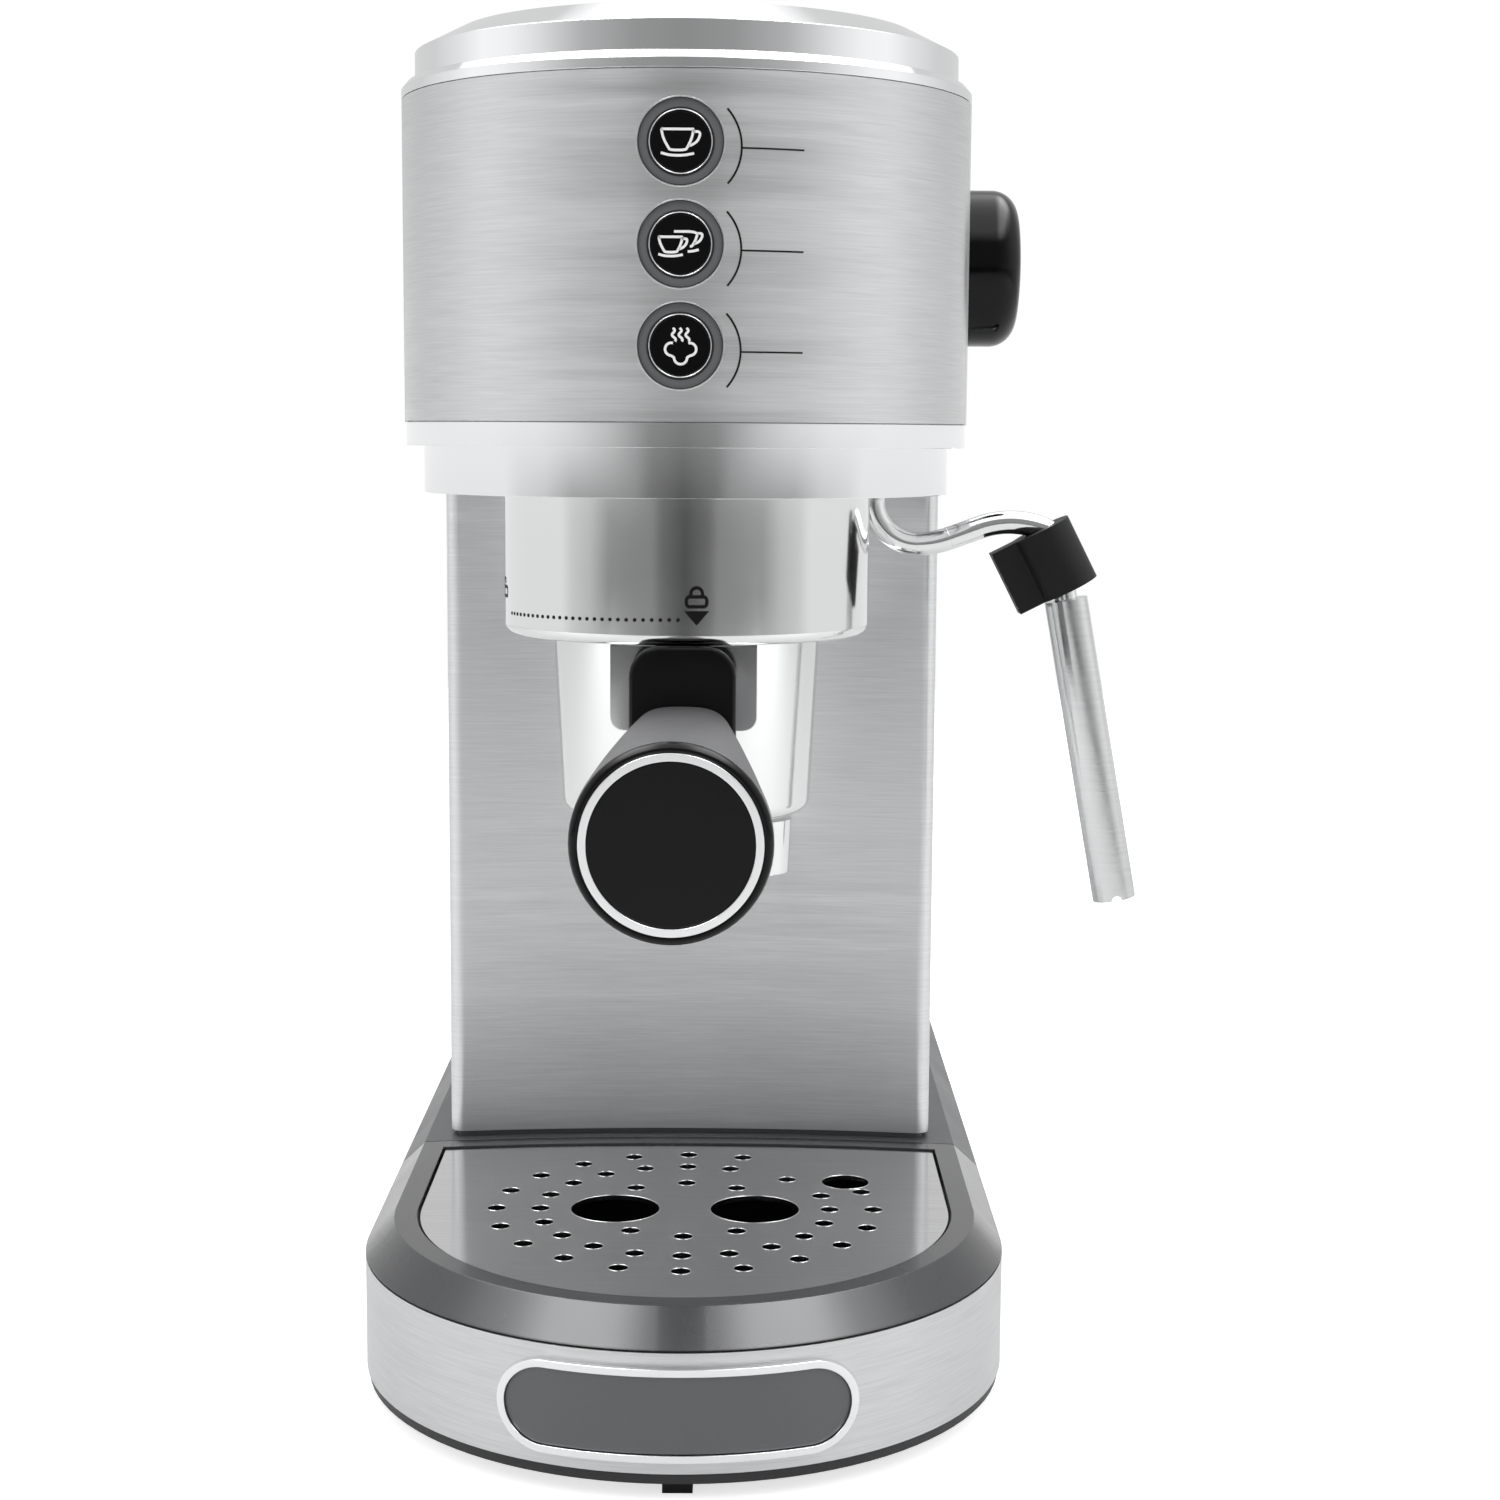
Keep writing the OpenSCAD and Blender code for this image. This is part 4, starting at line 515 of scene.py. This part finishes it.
# The neck is a rounded plate whose front stands up before the group cover. The grip starts as
# a rounded oblong under it and swells to a round end with a gloss black rim.
handle = {
    "neckTop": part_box("handle_neck")[1][2] / mm,
    "neckHalf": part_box("handle_neck")[1][0] / mm,
    "neckBack": -33.5,
    "neckFront": -45.0,
    "beforeCover": -42.2,
    "lip": 1.3,
    "corner": 6.8,
    "edge": 0.7,
    "start": (0, -45.2, 151.0),
    "tilt": 1.0,             # degrees down
    "narrow": (11.4, 13.9, 12.0),   # half width, height above the axis, depth below it
    "square": 3.2,           # power of the oblong at the neck; 2 is round
    "taper": (0.3, 82.0),
    "taperSteps": 12,
    "endRadius": 18.6,
    "length": 88.8,
    "rimStart": 86.6,
    "recess": (16.85, 86.3),
}


def neckOutline(top, inset=0.0):
    half, corner = handle["neckHalf"] - inset, handle["corner"] - inset
    z = top - inset - corner
    points = arcPoints(half - corner, z, corner, 0, 90, 10) + arcPoints(corner - half, z, corner, 90, 180, 10)
    return points + arcPoints(0, handle["start"][2], half, 180, 360, 20)


verts, faces = [], []
front, edge = handle["neckFront"], handle["edge"]
neckParts = (
    (handle["neckTop"], ((handle["neckBack"], 0), (handle["beforeCover"] + 0.1, 0))),
    (handle["neckTop"] + handle["lip"],
     ((handle["beforeCover"], 0), (front + edge, 0), (front + edge * 0.3, edge * 0.3), (front, edge))),
)
for top, stations in neckParts:
    addPrism(verts, faces, [[(x, y, z) for x, z in neckOutline(top, inset)] for y, inset in stations])
neck = newPiece("neck_shell", verts, faces, "neckBlack", "portafilter", smooth=False)
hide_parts("handle_neck")


# A ring of the grip in its own frame: u across, v up, and w out along the axis
def gripRing(w, shrink=0.0, steps=64):
    start, end = handle["taper"]
    share = min(max((w - start) / (end - start), 0), 1)
    power = 2 / between((handle["square"], 2), share)
    half, above, below = (between((a, handle["endRadius"]), share) - shrink for a in handle["narrow"])
    tilt = radians(handle["tilt"])
    ring = []
    for i in range(steps):
        c, s = cos(2 * pi * i / steps), sin(2 * pi * i / steps)
        u = half * abs(c) ** power * (1 if c >= 0 else -1)
        v = (above if s >= 0 else below) * abs(s) ** power * (1 if s >= 0 else -1)
        ring.append((u, handle["start"][1] - w * cos(tilt) - v * sin(tilt),
                     handle["start"][2] - w * sin(tilt) + v * cos(tilt)))
    return ring


verts, faces = [], []
start, end = handle["taper"]
steps = handle["taperSteps"]
rim = handle["endRadius"] - handle["recess"][0]
body = [gripRing(start, 1.0), gripRing(start + 0.3, 0.3), gripRing(start + 1.0)]
body += [gripRing(start + (end - start) * k / steps) for k in range(1, steps + 1)]
body.append(gripRing(handle["rimStart"]))
for a in (0, 30, 60, 90):
    body.append(gripRing(handle["length"] - rim * (1 - sin(radians(a))), rim * (1 - cos(radians(a)))))
body.append(gripRing(handle["recess"][1], rim))
addPrism(verts, faces, body)
grip = newPiece("grip_shell", verts, faces, "softTouch", "portafilter")
grip.data.materials.append(finish["gloss"])
for face in grip.data.polygons:
    face.material_index = 1 if face.center.y < (handle["start"][1] - handle["rimStart"]) * mm else 0
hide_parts("handle_grip")
print("handle made")


drainHoles = {
    "top": 40.0,
    "small": 2.2,
    "perCircle": 20,
    "circles": (44.7, 34.3),
    "shut": (2, 3),          # places on both circles that the side hole takes
    "moved": (34.3, 2.55),   # radius and place of the hole that stands beside it instead
    "inner": (20.6, 36.5),   # radius, and degrees between its holes
    "cups": (16.55, 10.5),   # how far to either side, and radius
    "side": (44.7, 60.6, 5.75),     # radius of its place, degrees from the back, and radius
    "rolled": 0.13,          # radius of the rolled edge round each hole
    "sunk": 0.07,            # how far that edge lies under the top and outside the hole
}


def polar(r, angle):
    return (r * cos(radians(angle)), r * sin(radians(angle)))


holes = []
step = 360 / drainHoles["perCircle"]
for r in drainHoles["circles"]:
    for i in range(drainHoles["perCircle"]):
        if i not in drainHoles["shut"]:
            holes.append((polar(r, 90 - step * i), drainHoles["small"]))
holes.append((polar(drainHoles["moved"][0], 90 - drainHoles["moved"][1] * step), drainHoles["small"]))
for side in (90, 270):
    for t in (-1, 0, 1):
        holes.append((polar(drainHoles["inner"][0], side + t * drainHoles["inner"][1]), drainHoles["small"]))
for side in (-1, 1):
    holes.append(((side * drainHoles["cups"][0], 0), drainHoles["cups"][1]))
holes.append((polar(drainHoles["side"][0], 90 - drainHoles["side"][1]), drainHoles["side"][2]))
verts, faces = [], []
for (x, y), r in holes:
    addRing(verts, faces, (x, y, drainHoles["top"] - drainHoles["sunk"]), (0, 0, 1), r + drainHoles["sunk"],
            drainHoles["rolled"], 24 if r == drainHoles["small"] else 64)
newPiece("drain_edges", verts, faces, "polished", "plate")
print("drip plate edges made:", len(holes))


# The cross slots in the heads of the housing screws, each at (x, y, z): flat dark quads in place of the
# slots, painted shade where their hollows fall dark
screws = {
    "pan": [(x, y, 2.5) for x in (-58, 58) for y in (84, 176)],
    "rear": [(x, 188.8, z) for x in (-53.25, 53.25) for z in (65.5, 279.6)],
    "slot": (3.6, 0.7),
    "film": 0.02,
}
verts, faces = [], []
for group in ("pan", "rear"):
    for x, y, z in screws[group]:
        for width, height in (screws["slot"], screws["slot"][::-1]):
            faces.append(tuple(range(len(verts), len(verts) + 4)))
            for u, v in ((-1, -1), (1, -1), (1, 1), (-1, 1)):
                a, b = u * width / 2, v * height / 2
                if group == "pan":
                    verts.append((x + a, y + b, z - screws["film"]))
                else:
                    verts.append((x + a, y + screws["film"], z + b))
newPiece("screw_slot_painted_shade", verts, faces, "darkPlastic", "machine", smooth=False)
print("screw slots made")


# the packshot camera: lens and place, with small turns from a straight look along +Y
camera = {
    "lens": 60.28,
    "sensor": 36,
    "place": (11.89, -577.65, 223.2),
    "pitch": 7.2417,
    "yaw": 0.2806,
    "roll": 0.367,
}


def makeCamera():
    pitch, yaw, roll = (radians(camera[k]) for k in ("pitch", "yaw", "roll"))
    ahead = Vector((sin(yaw) * cos(pitch), cos(yaw) * cos(pitch), -sin(pitch)))
    side = Vector((cos(yaw), -sin(yaw), 0))
    top = side.cross(ahead)
    right = side * cos(roll) + top * sin(roll)
    up = top * cos(roll) - side * sin(roll)
    data = bpy.data.cameras.new("packshot")
    data.sensor_width = camera["sensor"]
    data.sensor_fit = "HORIZONTAL"
    data.lens = camera["lens"]
    data.clip_start = 0.01
    cam = bpy.data.objects.new("packshot", data)
    matrix = Matrix((right, up, -ahead)).transposed().to_4x4()
    matrix.translation = Vector(camera["place"]) * mm
    cam.matrix_world = matrix
    bpy.context.scene.collection.objects.link(cam)
    bpy.context.scene.camera = cam


studio = {
    "white": "#ffffff",
    "skyLight": 0.62,
    "floor": "#dedede",
    "floorGlow": 0.68,       # what the open floor adds for the eye, so that it reads white
    "mirrorGlow": 0.05,      # and what it adds in mirrors
    "floorHalf": 1.6,
    "floorGrainMm": 1000 / 60,
    # each lamp's place, width and height, and power; all look at the middle of the object
    "lamps": {
        "leftSoftbox": ((-1.0, -0.5, 0.6), (0.9, 1.2), 7.0),
        "rightSoftbox": ((1.0, -0.4, 0.6), (0.9, 1.2), 7.0),
        "topSoftbox": ((0.0, 0.1, 1.2), (1.2, 1.0), 5.0),
    },
    "middle": (0, 0.05, 0.15),
    # what polished metal mirrors: (degrees round from the camera's side, brightness) at three heights
    "highWall": ((0, 0.3), (20, 0.34), (42, 0.5), (53, 0.68), (65, 0.88), (78, 1.04), (92, 1.08), (108, 0.88),
                 (130, 0.71)),
    "levelWall": ((0, 0.24), (13, 0.3), (20, 0.44), (30, 0.66), (40, 0.82), (46, 0.9), (60, 0.97)),
    "lowWall": ((0, 0.06), (15, 0.15), (20, 0.25), (48, 0.25), (61, 0.55), (75, 0.7), (83, 0.9)),
    "wallEdges": (-0.035, 0.0, 0.05),
    # the softboxes overhead: (distance to either side, brightness)
    "ceiling": ((0.0, 0.3), (0.15, 0.36), (0.3, 1.0), (0.55, 1.0), (0.68, 0.5)),
    "ceilingLight": 7.0,
    "ceilingEdge": (0.6, 0.8),
}


def makeLamp(name, at, size, power):
    data = bpy.data.lights.new(name, "AREA")
    data.shape = "RECTANGLE"
    data.size, data.size_y = size
    data.energy = power
    lamp = bpy.data.objects.new(name, data)
    lamp.location = at
    lamp.visible_glossy = False
    lamp.rotation_euler = (Vector(studio["middle"]) - Vector(at)).to_track_quat("-Z", "Y").to_euler()
    bpy.context.scene.collection.objects.link(lamp)


def addMath(tree, operation, *values):
    return addNode(tree, "ShaderNodeMath", dict(enumerate(values)), operation=operation).outputs[0]


# One height of the studio wall: brightness by the angle round from the camera's side
def makeWall(tree, value, stops, reach):
    node = addNode(tree, "ShaderNodeValToRGB", {"Fac": value})
    elements = node.color_ramp.elements
    elements[0].position, elements[1].position = stops[0][0] / reach, stops[-1][0] / reach
    for at, light in stops[1:-1]:
        elements.new(at / reach)
    for element, (at, light) in zip(elements, stops):
        element.color = (light, light, light, 1)
    return node.outputs[0]


def blendBy(tree, value, low, high, below, above):
    share = addNode(tree, "ShaderNodeMapRange", {"Value": value, "From Min": low, "From Max": high})
    return mixColours(tree, share.outputs[0], below, above)


# White to the eye, soft light on the object, and for mirrors a studio that is dark on the
# camera's side, white at the flanks, with softboxes overhead
def makeWorld():
    world = bpy.data.worlds.new("studio")
    world.use_nodes = True
    bpy.context.scene.world = world
    tree = world.node_tree
    tree.nodes.clear()
    path = addNode(tree, "ShaderNodeLightPath").outputs
    coords = addNode(tree, "ShaderNodeTexCoord")
    x, y, z = addNode(tree, "ShaderNodeSeparateXYZ", {"Vector": coords.outputs["Generated"]}).outputs
    aside = addMath(tree, "ABSOLUTE", x)
    ahead = addMath(tree, "MULTIPLY", y, -1.0)
    turn = addMath(tree, "DIVIDE", addMath(tree, "ARCTAN2", aside, ahead), pi)
    low, level, high = (makeWall(tree, turn, studio[key], 180)
                        for key in ("lowWall", "levelWall", "highWall"))
    ceiling = makeWall(tree, aside, studio["ceiling"], 1)
    over = addNode(tree, "ShaderNodeVectorMath", {0: ceiling, "Scale": studio["ceilingLight"]},
                   operation="SCALE").outputs[0]
    edges = studio["wallEdges"]
    walls = blendBy(tree, z, edges[0], edges[1], low, level)
    walls = blendBy(tree, z, edges[1], edges[2], walls, high)
    room = blendBy(tree, z, *studio["ceilingEdge"], walls, over)
    white = hexToLinear(studio["white"])
    plain, soft, mirror = (
        addNode(tree, "ShaderNodeBackground", {"Color": colour, "Strength": strength}).outputs[0]
        for colour, strength in ((white, 1.0), (white, studio["skyLight"]), (room, 1.0)))
    glossy = addNode(tree, "ShaderNodeMixShader", {"Fac": path["Is Glossy Ray"], 1: soft, 2: mirror})
    seen = addMath(tree, "MAXIMUM", path["Is Camera Ray"], path["Is Transmission Ray"])
    final = addNode(tree, "ShaderNodeMixShader", {"Fac": seen, 1: glossy.outputs[0], 2: plain})
    addNode(tree, "ShaderNodeOutputWorld", {"Surface": final.outputs[0]})


# A pale floor that turns white to the eye where no shadow lies on it
def makeFloor():
    mat, tree, shader = newMaterial("paleFloor", {"Base Color": hexToLinear(studio["floor"]),
                                                  "Emission Color": hexToLinear(studio["white"])})
    path = addNode(tree, "ShaderNodeLightPath").outputs
    seen = addMath(tree, "MAXIMUM", path["Is Camera Ray"], path["Is Transmission Ray"])
    inMirror = addMath(tree, "MULTIPLY", path["Is Glossy Ray"], studio["mirrorGlow"])
    glow = addMath(tree, "MULTIPLY_ADD", seen, studio["floorGlow"], inMirror)
    grain = addNoise(tree, studio["floorGrainMm"], detail=2.0)
    setInputs(tree, shader, {"Roughness": spread(tree, grain, 0.55, 0.65), "Emission Strength": glow})
    h = studio["floorHalf"]
    mesh = bpy.data.meshes.new("floor")
    mesh.from_pydata([(-h, -h, 0), (h, -h, 0), (h, h, 0), (-h, h, 0)], [], [(0, 1, 2, 3)])
    mesh.materials.append(mat)
    floor = bpy.data.objects.new("floor", mesh)
    bpy.context.scene.collection.objects.link(floor)


makeCamera()
makeWorld()
makeFloor()
for name, (at, size, power) in studio["lamps"].items():
    makeLamp(name, at, size, power)
bpy.context.scene.view_settings.view_transform = "Standard"
print("studio ready")
